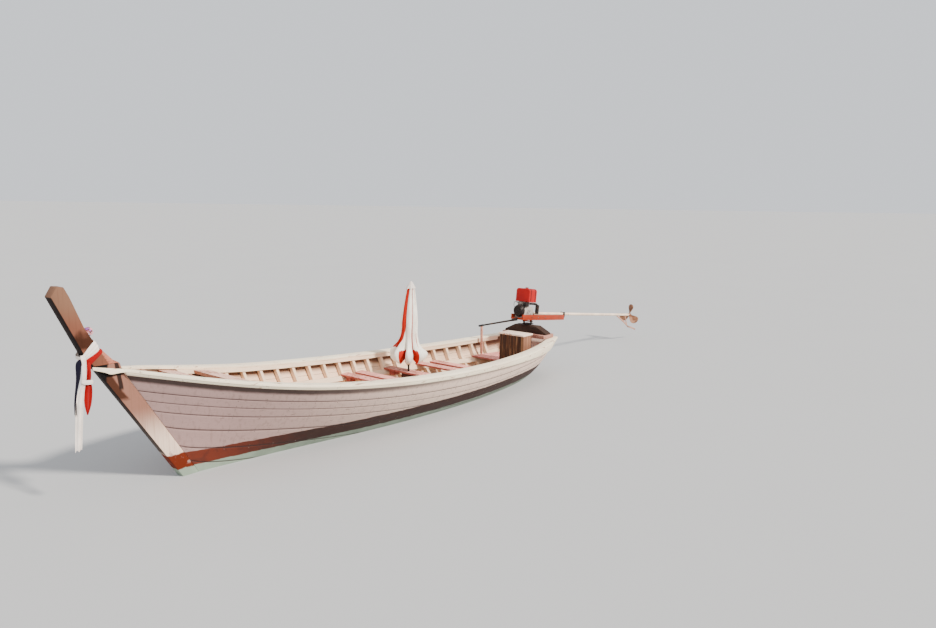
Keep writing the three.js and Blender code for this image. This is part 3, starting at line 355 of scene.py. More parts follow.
FINISHES = {
    "hull": hull_paint("hull_paint_worn"),
    "hull_plain": hull_paint("hull_paint_boards", seams=False),
    "wale": cream_wale("cream_wale_paint"),
    "inside": frame_paint("cream_inside_paint", (0.86, 0.64, 0.45)),
    "inside_planks": frame_paint("cream_plank_backs", (0.94, 0.66, 0.46)),
    "floor": timber("cream_floor_boards", (0.84, 0.62, 0.45), (0.24, 0.12, 0.07), 0.25, "x", 0.45),
    # the last colour of a timber is for faces that do not face up: painted shade
    "thwart": timber("red_thwart_paint", (0.97, 0.40, 0.33), (0.55, 0.22, 0.16), 0.42, "y", 0.4,
                     (0.26, 0.035, 0.022)),
    "platform": timber("pink_platform_paint", (0.98, 0.38, 0.34), (0.58, 0.26, 0.20), 0.4, "y", 0.3,
                       (0.16, 0.020, 0.016)),
    "bow_plank": timber("bow_plank_paint", (0.86, 0.52, 0.40), (0.45, 0.21, 0.14), 0.4, "y", 0.3,
                        (0.30, 0.11, 0.06)),
    "lid": timber("crate_lid_paint", (0.92, 0.70, 0.54), (0.50, 0.28, 0.18), 0.3, "y", 0.25),
    "stern_board": timber("stern_board_paint", (0.41, 0.20, 0.15), (0.25, 0.10, 0.065), 0.4, "y", 0.35),
    "side_post": timber("side_post_paint", (0.62, 0.30, 0.22), (0.35, 0.15, 0.10), 0.4, "z", 0.3),
    "knee": timber("knee_paint", (0.52, 0.18, 0.11), (0.28, 0.085, 0.05), 0.45, "x", 0.35),
    "beam": raw_timber("dark_beam_timber", (0.060, 0.026, 0.014), (0.012, 0.006, 0.004), 0.6),
    "block": raw_timber("dark_block_timber", (0.10, 0.026, 0.015), (0.035, 0.010, 0.007)),
    "post": post_timber("prow_post_timber"),
    "stem": stem_paint("stem_paint_worn"),
    # the end boards and corner posts are much darker than the side boards: painted shade on the ends
    "crate_ends": crate_boards("crate_end_timber_shaded", (0.026, 0.010, 0.005), (0.11, 0.042, 0.017),
                               (0.31, 0.15, 0.068)),
    "crate_sides": crate_boards("crate_side_timber", (0.155, 0.060, 0.030), (0.31, 0.142, 0.079),
                                (0.42, 0.23, 0.145)),
    "frame_steel": painted_steel("orange_frame_paint", (0.34, 0.030, 0.004)),
    "tube_steel": painted_steel("pale_tube_paint", (0.96, 0.72, 0.54), 0.2),
    "skeg_steel": painted_steel("brown_skeg_paint", (0.46, 0.24, 0.17)),
    "dark_steel": painted_steel("dark_worn_steel", (0.024, 0.017, 0.015), 0.25, metallic=0.4),
    "black_rubber": painted_steel("black_grip_rubber", (0.012, 0.011, 0.011), 0.0, 0.7),
    "engine_paint": painted_steel("engine_grey_paint", (0.40, 0.35, 0.30), 0.25),
    "tank": painted_steel("red_tank_enamel", (0.42, 0.0010, 0.0005), 0.08, 0.42, coat=0.03),
    "alloy": bare_metal("grey_engine_alloy", (0.62, 0.57, 0.50), (0.11, 0.08, 0.065), 0.42),
    "bronze": bare_metal("propeller_bronze", (0.52, 0.26, 0.15), (0.17, 0.065, 0.03), 0.38, 0.12),
    "bolt": bare_metal("bolt_steel", (0.26, 0.23, 0.21), (0.10, 0.05, 0.03), 0.5, 0.02),
    "canopy": cloth("striped_canopy_cloth", (0.99, 0.94, 0.82), (0.50, 0.016, 0.005)),
    "white_cloth": cloth("white_sash_cloth", (0.88, 0.78, 0.70)),
    "red_cloth": cloth("red_sash_cloth", (0.30, 0.002, 0.002)),
    "navy_cloth": cloth("navy_sash_cloth", (0.006, 0.005, 0.014)),
    "purple_petal": cloth("purple_petals", (0.42, 0.17, 0.52)),
    "pink_petal": cloth("pink_petals", (0.90, 0.40, 0.42)),
}


# Points and lines
def around(count):
    """The angles of equal turns round a circle"""
    return [2 * pi * k / count for k in range(count)]


def polar(radius, angle, height=0.0):
    return Vector((radius * cos(angle), radius * sin(angle), height))


def mirrored(points, sign):
    return [Vector((p.x, p.y * sign, p.z)) for p in points]


def located(keys, goal):
    """Which of rising keys, past the lowest, first reaches the goal, and how far along that step it is"""
    i = next((k for k in range(1, len(keys) - 1) if keys[k] >= goal), len(keys) - 1)
    return i, (goal - keys[i - 1]) / (keys[i] - keys[i - 1])


def smooth_run(points, steps):
    """Points on a smooth line through the given ones"""
    line = []
    count = len(points)
    for i in range(count - 1):
        a, b = points[max(i - 1, 0)], points[i]
        c, d = points[i + 1], points[min(i + 2, count - 1)]
        for k in range(steps):
            t = k / steps
            line.append(0.5 * (2 * b + (c - a) * t + (2 * a - 5 * b + 4 * c - d) * t * t
                               + (3 * b - a - 3 * c + d) * t * t * t))
    return line + [points[-1]]


# Ways of making a piece
def alone(*pieces):
    """Only these pieces are selected, and the first is the active one"""
    bpy.ops.object.select_all(action="DESELECT")
    for piece in pieces:
        piece.select_set(True)
    bpy.context.view_layer.objects.active = pieces[0]


def started(name, add, **settings):
    """A fresh primitive under its own name"""
    bpy.ops.object.select_all(action="DESELECT")
    add(**settings)
    piece = bpy.context.object
    piece.name = piece.data.name = name
    bpy.ops.object.transform_apply(location=True, rotation=True, scale=True)
    return piece


def modified(piece, kind, **settings):
    """The piece with one modifier applied"""
    alone(piece)
    modifier = piece.modifiers.new(kind.lower(), kind)
    for key, value in settings.items():
        setattr(modifier, key, value)
    bpy.ops.object.modifier_apply(modifier=modifier.name)
    return piece


def edited(piece, *steps):
    """The piece after edit mode operators, each with all of it selected"""
    alone(piece)
    bpy.ops.object.mode_set(mode="EDIT")
    for step in steps:
        bpy.ops.mesh.select_all(action="SELECT")
        step()
    bpy.ops.object.mode_set(mode="OBJECT")
    return piece


def merge():
    bpy.ops.mesh.remove_doubles(threshold=1e-5)


def flatten():
    bpy.ops.mesh.dissolve_limited(angle_limit=radians(0.6))


def close():
    bpy.ops.mesh.fill_holes(sides=0)


def turn_out():
    bpy.ops.mesh.normals_make_consistent(inside=False)


def smoothed(piece, angle=32):
    alone(piece)
    bpy.ops.object.shade_smooth_by_angle(angle=radians(angle), keep_sharp_edges=False)
    return piece


def rounded(piece, width, segments=2, angle=28):
    """Edges sharper than the angle rounded off, then smooth shading"""
    modified(piece, "BEVEL", width=width, segments=segments, limit_method="ANGLE",
             angle_limit=radians(angle), use_clamp_overlap=True)
    return smoothed(piece)


def fitted(piece, finish, body, slot, *stands_for):
    """The piece gets its finish unless it has its own, its body and the nodes that it stands for"""
    if finish:
        piece.data.materials.clear()
        piece.data.materials.append(FINISHES[finish])
    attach(piece, body)
    if stands_for:
        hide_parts(*stands_for)
    return piece


def joined(name, pieces):
    alone(*pieces)
    bpy.ops.object.join()
    pieces[0].name = pieces[0].data.name = name
    return pieces[0]


def lofted(name, rings, wrap=False, ends=False):
    """A grid primitive drawn out on rings of points. wrap closes each ring, ends fills the two ends"""
    rows, width = len(rings), len(rings[0])
    columns = width + (1 if wrap else 0)
    add = bpy.ops.mesh.primitive_grid_add
    piece = started(name, add, x_subdivisions=rows - 1, y_subdivisions=columns - 1, size=1)
    for vertex in piece.data.vertices:
        row = round((vertex.co.x + 0.5) * (rows - 1))
        column = round((vertex.co.y + 0.5) * (columns - 1))
        vertex.co = rings[row][column % width]
    if wrap:
        edited(piece, merge, *([close] if ends else []), turn_out)
    return piece


def facing(piece, outward):
    """The open skin's faces turned to point along outward(point)"""
    mesh = piece.data
    if sum(face.normal.dot(outward(face.center)) * face.area for face in mesh.polygons) < 0:
        mesh.flip_normals()
    return piece


def copied(node, name):
    """A merged copy of a CAD node's solid, its flat faces made whole"""
    piece = bpy.data.objects.new(name, nodes[node].data.copy())
    bpy.context.scene.collection.objects.link(piece)
    return edited(piece, merge, flatten)


def placed(piece, matrix):
    piece.data.transform(matrix)
    piece.data.update()
    return piece


def turned(piece, at, direction):
    """The piece moved to a place, with its upright axis along a direction"""
    turn = Vector((0, 0, 1)).rotation_difference(direction).to_matrix().to_4x4()
    return placed(piece, Matrix.Translation(at) @ turn)


def bar(name, start, end, radius, sides=16, end_radius=None):
    """A round bar between two points"""
    start, end = Vector(start), Vector(end)
    piece = started(name, bpy.ops.mesh.primitive_cone_add, vertices=sides, radius1=radius,
                    radius2=radius if end_radius is None else end_radius, depth=(end - start).length)
    return turned(piece, (start + end) / 2, end - start)


def rod(*shape):
    """A round bar with smooth shading"""
    return smoothed(bar(*shape))


def block(name, low, high, bevel):
    """A block between two corners with its edges rounded"""
    low, high = Vector(low), Vector(high)
    add = bpy.ops.mesh.primitive_cube_add
    return rounded(started(name, add, size=1, location=(low + high) / 2, scale=high - low), bevel)


def bolt(name, at, along, radius, head):
    """A hexagonal head on a washer"""
    at, along = Vector(at), Vector(along).normalized()
    washer = bar(name, at, at + along * 0.002, radius * 1.5)
    top = bar(name, at + along * 0.002, at + along * (0.002 + head), radius, 6)
    return smoothed(modified(joined(name, [washer, top]), "BEVEL", width=0.0008, segments=1))


# Hull form, as in the solids: raked sections from the keel line to the sheer line
HULL = [
    # keel x, keel z, sheer x, sheer z, half breadth, fullness, wale drop
    (3.184, -0.040, 4.000, 1.290, 0.062, 1.00, 0.036),
    (3.090, -0.084, 3.830, 1.252, 0.175, 1.00, 0.036),
    (2.910, -0.126, 3.550, 1.188, 0.345, 1.00, 0.035),
    (2.620, -0.166, 3.150, 1.096, 0.530, 1.02, 0.034),
    (2.240, -0.198, 2.650, 0.992, 0.705, 1.05, 0.034),
    (1.760, -0.222, 2.050, 0.888, 0.840, 1.12, 0.034),
    (1.180, -0.240, 1.350, 0.798, 0.945, 1.22, 0.038),
    (0.480, -0.250, 0.550, 0.722, 0.995, 1.34, 0.048),
    (-0.300, -0.250, -0.300, 0.662, 1.000, 1.45, 0.054),
    (-1.120, -0.238, -1.150, 0.622, 0.965, 1.55, 0.060),
    (-1.860, -0.208, -1.950, 0.600, 0.880, 1.62, 0.078),
    (-2.520, -0.156, -2.700, 0.598, 0.765, 1.68, 0.102),
    (-3.000, -0.096, -3.300, 0.612, 0.620, 1.72, 0.128),
    (-3.240, -0.040, -3.790, 0.632, 0.440, 1.75, 0.140),
]
KEEL_HALF = 0.060
PLANK = 0.028
FINE = 60
STATION_STEPS = 6


def section_curve(section):
    """Points along one section from keel to sheer, and their distances"""
    keel_x, keel_z, sheer_x, sheer_z, half, full, _ = section
    points = []
    for i in range(FINE + 1):
        h = 1 - cos(pi / 2 * i / FINE)
        rise = (1 - (1 - h) ** full) ** (1 / full)
        x, z = keel_x + (sheer_x - keel_x) * h, keel_z + (sheer_z - keel_z) * h
        points.append(Vector((x, KEEL_HALF + (half - KEEL_HALF) * rise, z)))
    lengths = [0.0]
    for a, b in zip(points, points[1:]):
        lengths.append(lengths[-1] + (b - a).length)
    return points, lengths


CURVES = [section_curve(section) for section in HULL]


def on_section(curve, share):
    """Point at a share of the section's girth"""
    points, lengths = curve
    i, part = located(lengths, share * lengths[-1])
    return points[i - 1].lerp(points[i], part)


def at_height(curve, height):
    """Point of the section at a height above the water"""
    points, _ = curve
    i, part = located([p.z for p in points], height)
    return points[i - 1].lerp(points[i], part)


def hull_line(share):
    """The planking's outer line at a share of the girth, from the bow aft, to port"""
    return smooth_run([on_section(curve, share) for curve in CURVES], STATION_STEPS)


# Planking: planks from keel to sheer, each node's planks in one piece
LAST = len(HULL) - 1
BUTT = 8
PLANKS = [
    # node, slot, first section, last section, shares of the girth at its planks' edges
    ("bottom_planking", "bottom_paint", 0, LAST, (0.0, 0.15, 0.30)),
    ("strake_1_fore", "hull_paint", 0, BUTT, (0.30, 0.49)),
    ("strake_1_aft", "hull_paint", BUTT, LAST, (0.30, 0.49)),
    ("strake_2", "hull_paint", 0, LAST, (0.49, 0.645, 0.74)),
    ("strake_3", "hull_paint", 0, LAST, (0.74, 0.83, 0.992)),
]
SEAM = 0.0009
PLANK_COLUMNS = 6
TOP_EDGE = 0.99
HIGH_BAND = 0.26


def plank(node, first, last, low, high, sign):
    """One plank between two shares of the girth, with a hair of seam left along its edges"""
    lines = [hull_line(low + (high - low) * k / PLANK_COLUMNS) for k in range(PLANK_COLUMNS + 1)]
    rings = []
    for row in zip(*[line[first * STATION_STEPS:last * STATION_STEPS + 1] for line in lines]):
        width = (row[-1] - row[0]).normalized() * SEAM
        rings.append([row[0] + width, *row[1:-1], row[-1] - width])
    for end, butted, shift in ((0, first > 0, -SEAM), (-1, last < LAST, SEAM)):
        if butted:
            rings[end] = [p + Vector((shift, 0, 0)) for p in rings[end]]
    rings = [mirrored(ring, sign) for ring in rings]
    board = facing(lofted(f"plank_{node}", rings), lambda p: Vector((0, sign, -0.3)))
    high_up = board.data.attributes.new("high_up", "FLOAT", "POINT")
    if high > TOP_EDGE:
        heights = {}
        for ring in rings:
            widths = [(a - b).length for a, b in zip(ring, ring[1:])]
            for k, point in enumerate(ring):
                heights[tuple(round(c, 4) for c in point)] = max(0.0, HIGH_BAND - sum(widths[k:]))
        for vertex in board.data.vertices:
            high_up.data[vertex.index].value = heights[tuple(round(c, 4) for c in vertex.co)]
    for kind in ("hull", "inside_planks"):
        board.data.materials.append(FINISHES[kind])
    modified(board, "SOLIDIFY", thickness=PLANK, offset=-1.0, material_offset=1)
    return rounded(board, 0.004)


for side, sign in SIDES:
    for node, slot, first, last, edges in PLANKS:
        boards = [plank(node, first, last, low, high, sign) for low, high in zip(edges, edges[1:])]
        fitted(joined(f"{node}_{side}_planks", boards), None, "hull", slot, f"{node}_{side}")

# Wales and caps
WALE_OUT = 0.042
WALE_TAPER = 0.008
FIT = 0.0003
CAP = 0.032
CAP_OUT = 0.048
CAP_IN = 0.130
BOW_CAP_IN = (0.0, 0.058, 0.066, 0.096, 0.118)
STEM_HALF = 0.065
CAPS = [
    # x, inner edge, outer edge, underside, depth of the lip below it
    (4.306, STEM_HALF + FIT, STEM_HALF + 0.009, 1.358, 0.0),
    (4.200, STEM_HALF + FIT, STEM_HALF + 0.032, 1.335, 0.014),
    (4.140, STEM_HALF + FIT, STEM_HALF + 0.044, 1.322, 0.028),
]
for i, (_, _, sheer_x, sheer_z, half, _, _) in enumerate(HULL):
    inset = BOW_CAP_IN[i] if i < len(BOW_CAP_IN) else CAP_IN
    CAPS.append((sheer_x, max(half - inset, STEM_HALF + FIT), half + CAP_OUT, sheer_z, 0.0))
wale_corners = []
for section, curve in zip(HULL, CURVES):
    top, low = on_section(curve, 1.0), at_height(curve, section[3] - section[6])
    offsets = ((low, 0, 0), (top, 0, -0.001), (top, WALE_OUT, -0.001), (low, WALE_OUT - WALE_TAPER, 0))
    wale_corners.append([point + Vector((0, y, z)) for point, y, z in offsets])
cap_corners = []
for x, inner, outer, z, lip in CAPS:
    offsets = ((inner, FIT - lip), (outer, FIT - lip), (outer, CAP), (inner, CAP))
    cap_corners.append([Vector((x, y, z + up)) for y, up in offsets])
for side, sign in SIDES:
    for node, corners in (("wale", wale_corners), ("gunwale_cap", cap_corners)):
        runs = [smooth_run(run, STATION_STEPS) for run in zip(*corners)]
        rings = [mirrored(row, sign) for row in zip(*runs)]
        rail = rounded(lofted(f"{node}_{side}_timber", rings, wrap=True, ends=True), 0.007, 3)
        fitted(rail, "wale", "hull", "cream_paint", f"{node}_{side}")

# Boards and castings that keep the solids' shape, with rounded edges
DRESSED = [
    # nodes, finish, slot, body, edge rounding
    (["stem"], "stem", "hull_paint", "hull", 0.008),
    (["prow_post"], "post", "bare_wood", "hull", 0.008),
    (["prow_knee"], "knee", "bare_wood", "hull", 0.006),
    (["transom"], "hull_plain", "hull_paint", "hull", 0.003),
    ([f"thwart_{k}" for k in range(1, 6)], "thwart", "red_wood", "hull", 0.004),
    ([f"bow_plank_{k}" for k in range(1, 4)], "bow_plank", "pink_wood", "hull", 0.004),
    (["side_post"], "side_post", "pink_wood", "hull", 0.004),
    (["stern_board"], "stern_board", "pink_wood", "hull", 0.005),
    (["engine_beam"], "beam", "dark_wood", "hull", 0.008),
    (["parasol_base"], "block", "dark_wood", "hull", 0.008),
    (["engine_frame"], "frame_steel", "orange_steel", "engine", 0.0025),
    (["crankcase"], "engine_paint", "grey_alloy", "engine", 0.010),
    (["cylinder"], "alloy", "grey_alloy", "engine", 0.0018),
    (["air_cleaner"], "dark_steel", "dark_steel", "engine", 0.010),
    (["fan_housing"], "dark_steel", "dark_steel", "engine", 0.008),
    (["tube_clamp"], "dark_steel", "dark_steel", "engine", 0.002),
    (["skeg"], "skeg_steel", "pale_steel", "engine", 0.002),
    (["swivel_yoke"], "dark_steel", "dark_steel", "swivel", 0.0018),
    (["swivel_socket"], "dark_steel", "dark_steel", "hull", 0.0018),
    (["tiller_grip"], "black_rubber", "dark_steel", "engine", 0.004),
]
for group, finish, slot, body, edge in DRESSED:
    for node in group:
        fitted(rounded(copied(node, f"{node}_dressed"), edge), finish, body, slot, node)

# Solids that stay as they are, in better finishes
KEPT = {
    "frames": "inside",
    "keel": "hull_plain",
    "tail_tube": "tube_steel",
    "fuel_tank": "tank",
    "exhaust_pipe": "dark_steel",
    "tiller": "dark_steel",
    "parasol_pole": "dark_steel",
}
for node, finish in KEPT.items():
    nodes[node].data.materials.clear()
    nodes[node].data.materials.append(FINISHES[finish])


# Floor boards and aft platform: each sawn from the solid's own outline into separate boards
def sawn(node, name, axis, cuts, gap, finish, slot, edge):
    """Boards between neighbouring cuts along the axis, cut out of the node's solid"""
    boards = []
    normal = Vector([1.0 if a == axis else 0.0 for a in "xyz"])
    for low, high in zip(cuts, cuts[1:]):
        board = copied(node, name)
        for at, inner in ((low + gap / 2, True), (high - gap / 2, False)):
            edited(board, lambda: bpy.ops.mesh.bisect(plane_co=normal * at, plane_no=normal, use_fill=True,
                                                      clear_inner=inner, clear_outer=not inner))
        boards.append(rounded(board, edge, angle=40))
    fitted(joined(name, boards), finish, "hull", slot, node)


FLOOR_BOARD = 0.165
PAST = 0.01
low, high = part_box("floor_boards")
floor_cuts = [low.y - PAST] + [(k + 0.5) * FLOOR_BOARD for k in range(-3, 3)] + [high.y + PAST]
sawn("floor_boards", "floor_board_planks", "y", floor_cuts, 0.008, "floor", "cream_paint", 0.002)
low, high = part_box("aft_platform")
platform_cuts = [low.x - PAST] + [low.x + (high.x - low.x) * k / 4 for k in (1, 2, 3)] + [high.x + PAST]
sawn("aft_platform", "platform_planks", "x", platform_cuts, 0.005, "platform", "red_wood", 0.003)

# Crate: upright boards nailed to four corner posts, and a lid of three boards on two cleats
CRATE_BOARD = 0.016
BOARD_WIDTH = 0.085
BOARD_GAP = 0.0022
POST_SIDE = 0.034
LID_BOARDS = 3
crate_low, crate_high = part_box("crate_walls")
lid_low, lid_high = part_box("crate_lid")
rng = random.Random(11)
for side, faced, run, inset in (("ends", 0, 1, 0.0), ("sides", 1, 0, CRATE_BOARD)):
    boards = []
    start, end = crate_low[run] + inset, crate_high[run] - inset
    count = round((end - start) / BOARD_WIDTH)
    pitch = (end - start) / count
    for outer in (crate_low[faced], crate_high[faced] - CRATE_BOARD):
        for k in range(count):
            low = Vector((0, 0, crate_low.z + rng.uniform(0, 0.004)))
            high = Vector((0, 0, crate_high.z))
            low[faced], high[faced] = outer, outer + CRATE_BOARD
            low[run], high[run] = start + k * pitch + BOARD_GAP, start + (k + 1) * pitch - BOARD_GAP
            boards.append(block("crate_board", low, high, 0.0018))
    fitted(joined(f"crate_{side}_boards", boards), f"crate_{side}", "hull", "dark_wood", "crate_walls")
posts = []
for x in (crate_low.x + CRATE_BOARD, crate_high.x - CRATE_BOARD - POST_SIDE):
    for y in (crate_low.y + CRATE_BOARD, crate_high.y - CRATE_BOARD - POST_SIDE):
        high = (x + POST_SIDE, y + POST_SIDE, crate_high.z)
        posts.append(block("crate_post", (x, y, crate_low.z), high, 0.002))
fitted(joined("crate_corner_posts", posts), "crate_ends", "hull", "dark_wood")
lid_parts = []
width = (lid_high.x - lid_low.x) / LID_BOARDS
for k in range(LID_BOARDS):
    low = (lid_low.x + k * width + 0.001, lid_low.y, lid_low.z)
    high = (lid_low.x + (k + 1) * width - 0.001, lid_high.y, lid_high.z)
    lid_parts.append(block("lid_board", low, high, 0.0035))
for y in (crate_low.y + 0.06, crate_high.y - 0.09):
    low = (crate_low.x + CRATE_BOARD + 0.002, y, lid_low.z - 0.022)
    high = (crate_high.x - CRATE_BOARD - 0.002, y + 0.03, lid_low.z - 0.0005)
    lid_parts.append(block("lid_cleat", low, high, 0.002))
fitted(joined("crate_lid_boards", lid_parts), "lid", "hull", "pink_wood", "crate_lid")

# Nail heads at the ribs, along both edges of the planks
NAIL_RADIUS = 0.0055
NAIL_PROUD = 0.0012
NAIL_SUNK = 0.002
FROM_EDGE = 0.016
RIBS = [2.950 - k * 0.2975 for k in range(21)]


def crossing(line, x):
    """Point of a line from the bow aft where it passes x, and its direction there"""
    i, part = located([-p.x for p in line], -x)
    return line[i - 1].lerp(line[i], part), (line[i - 1] - line[i]).normalized()


nails = []
for share in sorted({share for *_, edges in PLANKS for share in edges if 0.2 < share < 0.98}):
    for off in (-FROM_EDGE, FROM_EDGE):
        line, upper = hull_line(share + off), hull_line(share + off + 0.01)
        for x in RIBS:
            point, forward = crossing(line, x)
            above, _ = crossing(upper, x)
            outward = (above - point).cross(forward).normalized()
            outward = outward if outward.y > 0 else -outward
            for _, sign in SIDES:
                at, out = mirrored([point, outward], sign)
                nails.append(bar("nail", at - out * NAIL_SUNK, at + out * NAIL_PROUD, NAIL_RADIUS, 8))
fitted(joined("hull_nail_heads", nails), "bolt", "hull", "dark_steel")


# Engine fittings, drawn in the engine's own frame with the tilt pin at the origin
SHAFT_SLOPE = Matrix.Rotation(radians(-6.6), 4, "Y")
TO_ENGINE = Matrix.Translation((-3.52, 0, 0.932)) @ SHAFT_SLOPE
SHAFT_Z = 0.190
HOSE_SIDES = 10


def hose(name, radius, *points):
    """A round hose or cable through points"""
    line = smooth_run([Vector(p) for p in points], 8)
    rings = []
    for i, centre in enumerate(line):
        run = (line[min(i + 1, len(line) - 1)] - line[max(i - 1, 0)]).normalized()
        side = run.cross(Vector((0.1, 0.2, 1))).normalized()
        up = side.cross(run)
        rings.append([centre + (side * cos(t) + up * sin(t)) * radius for t in around(HOSE_SIDES)])
    return smoothed(lofted(name, rings, wrap=True, ends=True), 60)


def tank_strap(x):
    """A steel band over the tank from one lower edge to the other"""
    half, top, low, turn, width = 0.148, 0.592, 0.362, 0.046, 0.018
    outline = [(half, low), (half, top - turn)]
    for k in range(1, 8):
        a = pi / 2 * k / 8
        outline.append((half - turn + turn * cos(a), top - turn + turn * sin(a)))
    outline.append((half - turn, top))
    outline += [(-y, z) for y, z in reversed(outline)]
    rings = [[Vector((x + side * width / 2, y, z)) for y, z in outline] for side in (-1, 1)]
    strap = facing(lofted("tank_strap", rings), lambda p: Vector((0, p.y, p.z - 0.4)))
    return modified(strap, "SOLIDIFY", thickness=0.0016, offset=1.0)


dark = [
    rod("recoil_cover", (0.352, 0, SHAFT_Z), (0.364, 0, SHAFT_Z), 0.088, 40, 0.082),
    rod("recoil_hub", (0.364, 0, SHAFT_Z), (0.376, 0, SHAFT_Z), 0.028, 24, 0.024),
    block("recoil_handle", (0.360, 0.040, 0.262), (0.380, 0.084, 0.276), 0.004),
    tank_strap(0.045),
    tank_strap(0.185),
    hose("fuel_hose", 0.005, (0.150, 0.070, 0.352), (0.176, 0.104, 0.338), (0.206, 0.066, 0.316)),
    hose("plug_cable", 0.004, (0.130, -0.186, 0.334), (0.190, -0.196, 0.330), (0.262, -0.150, 0.262),
         (0.292, -0.090, 0.214)),
    hose("throttle_cable", 0.0035, (0.222, 0.070, 0.290), (0.330, 0.128, 0.250), (0.400, 0.060, 0.110),
         (0.520, 0.020, 0.030), (0.900, 0.019, -0.012), (1.330, 0.018, -0.052)),
    bar("plug_cap", (0.130, -0.140, 0.318), (0.130, -0.190, 0.334), 0.012, 16, 0.009),
    rod("coupling_flange", (-0.026, 0, 0.138), (-0.0082, 0, 0.138), 0.060, 32),
]
for k in range(12):
    spoke = block("recoil_rib", (0.362, -0.0025, 0.034), (0.367, 0.0025, 0.076), 0.0008)
    dark.append(placed(spoke, Matrix.Translation((0, 0, SHAFT_Z)) @ Matrix.Rotation(pi * k / 6, 4, "X")))
alloy = [
    block("rocker_cover", (0.082, -0.132, 0.276), (0.178, -0.111, 0.346), 0.007),
    block("carburettor", (0.200, 0.040, 0.288), (0.240, 0.086, 0.330), 0.006),
    rod("side_cover_port", (0.140, 0.100, 0.150), (0.140, 0.109, 0.150), 0.066, 36, 0.062),
    rod("side_cover_starboard", (0.140, -0.100, 0.150), (0.140, -0.109, 0.150), 0.066, 36, 0.062),
    rod("oil_plug", (0.236, 0.100, 0.080), (0.236, 0.116, 0.080), 0.013),
    rod("tank_cap_rim", (0.115, 0, 0.606), (0.115, 0, 0.617), 0.031, 30, 0.029),
    rod("spark_plug", (0.130, -0.111, 0.309), (0.130, -0.142, 0.319), 0.008, 12),
]
bolts = []
for sign in (1, -1):
    out = (0, sign, 0)
    bolts.append(bolt("pin_nut", (0, sign * 0.0925, 0), out, 0.015, 0.011))
    bolts.append(bolt("clamp_bolt", (-1.230, sign * 0.034, 0.174), (0, 0, 1), 0.007, 0.006))
    for x in (0.325, 0.060, -0.150, -0.390):
        bolts.append(bolt("frame_bolt", (x, sign * 0.130, 0.075), out, 0.009, 0.007))
    for a in around(6):
        at = (0.140 + 0.052 * cos(a), sign * 0.109, 0.150 + 0.052 * sin(a))
        bolts.append(bolt("cover_bolt", at, out, 0.0042, 0.004))
for a in around(4):
    c, s = cos(a + pi / 4), sin(a + pi / 4)
    bolts.append(bolt("flange_bolt", (-0.026, 0.045 * c, 0.138 + 0.045 * s), (-1, 0, 0), 0.006, 0.005))
    bolts.append(bolt("cover_bolt", (0.130 + 0.040 * c, -0.132, 0.311 + 0.026 * s), (0, -1, 0), 0.004, 0.003))
for name, pieces, finish, slot in (("engine_dark_fittings", dark, "dark_steel", "dark_steel"),
                                   ("engine_alloy_fittings", alloy, "alloy", "grey_alloy"),
                                   ("engine_bolts", bolts, "bolt", "dark_steel")):
    fitted(placed(joined(name, pieces), TO_ENGINE), finish, "engine", slot)


# Closed parasol: one sheet of cloth in eight folds round the pole, puffed at the hem, with a white top flap
PARASOL = Vector((-0.685, -0.335, 0))
PARASOL_LEAN = Vector((-0.027, 0.027, 0))
FACING = radians(43)
CANOPY_FOOT = 0.590
CANOPY_TIP = 1.848
CANOPY_PROFILE = [
    # height, outer radius, radius in the creases, sharpness of the creases
    (0.580, 0.200, 0.100, 0.6),
    (0.605, 0.246, 0.094, 0.6),
    (0.645, 0.282, 0.090, 0.6),
    (0.695, 0.300, 0.090, 0.6),
    (0.735, 0.290, 0.094, 0.6),
    (0.768, 0.256, 0.102, 0.65),
    (0.798, 0.216, 0.110, 0.8),
    (0.840, 0.184, 0.116, 0.9),
    (0.910, 0.153, 0.114, 1.0),
    (0.990, 0.136, 0.110, 1.0),
    (1.080, 0.134, 0.112, 1.0),
    (1.235, 0.136, 0.118, 1.0),
    (1.390, 0.119, 0.104, 1.0),
    (1.600, 0.088, 0.077, 1.0),
    (1.745, 0.062, 0.054, 1.0),
    (1.800, 0.040, 0.036, 1.0),
]
STRIPES = [
    # bearing from the seen side in degrees, above and at the hem,
    # half width at the top, amidst and at the hem, lowest and highest point
    (-38, -70, 0.026, 0.037, 0.062, 0.82, 1.85),
    (-24, -24, 0.0, 0.0, 0.052, 0.55, 0.80),
    (24, 24, 0.0045, 0.0065, 0.008, 0.79, 1.85),
    (28, 28, 0.0, 0.0, 0.042, 0.55, 0.79),
    (66, 67, 0.004, 0.006, 0.016, 0.55, 1.85),
    (112, 112, 0.005, 0.016, 0.030, 0.55, 1.85),
    (158, 158, 0.005, 0.014, 0.030, 0.55, 1.85),
    (-158, -158, 0.005, 0.018, 0.030, 0.55, 1.85),
    (-112, -112, 0.005, 0.012, 0.030, 0.55, 1.85),
]
UNEVEN = (0.0, 0.7, -0.5, 0.3, -0.8, 0.5, -0.3, 0.9)
FOLDS = len(UNEVEN)
FLARE_LEFT, FLARE_RIGHT = 0.070, 0.012
FLARE_HEIGHT, FLARE_REACH = 0.86, 0.22
HEM = 0.662
SCALLOP = 0.082
WAIST = (0.84, 1.22)
CANOPY_SIDES = 256
CANOPY_ROWS = 64
TOP_FLAP = [
    # height, radius
    (1.735, 0.072),
    (1.760, 0.063),
    (1.790, 0.045),
    (1.815, 0.030),
    (1.836, 0.016),
    (1.8475, 0.004),
]
FLAP_SIDES = 64


def share_of(value, low, high):
    """How far a value is from low to high, within 0 and 1"""
    return min(1.0, max(0.0, (value - low) / (high - low)))


def canopy_profile(height):
    i, part = located([row[0] for row in CANOPY_PROFILE], height)
    return [a + (b - a) * part for a, b in zip(CANOPY_PROFILE[i - 1], CANOPY_PROFILE[i])]


def parasol_axis(height):
    """The leaning line through the canopy's middle"""
    up = max(0.0, (height - CANOPY_FOOT) / (CANOPY_TIP - CANOPY_FOOT))
    return PARASOL + PARASOL_LEAN * up ** 2.5 + Vector((0, 0, height))


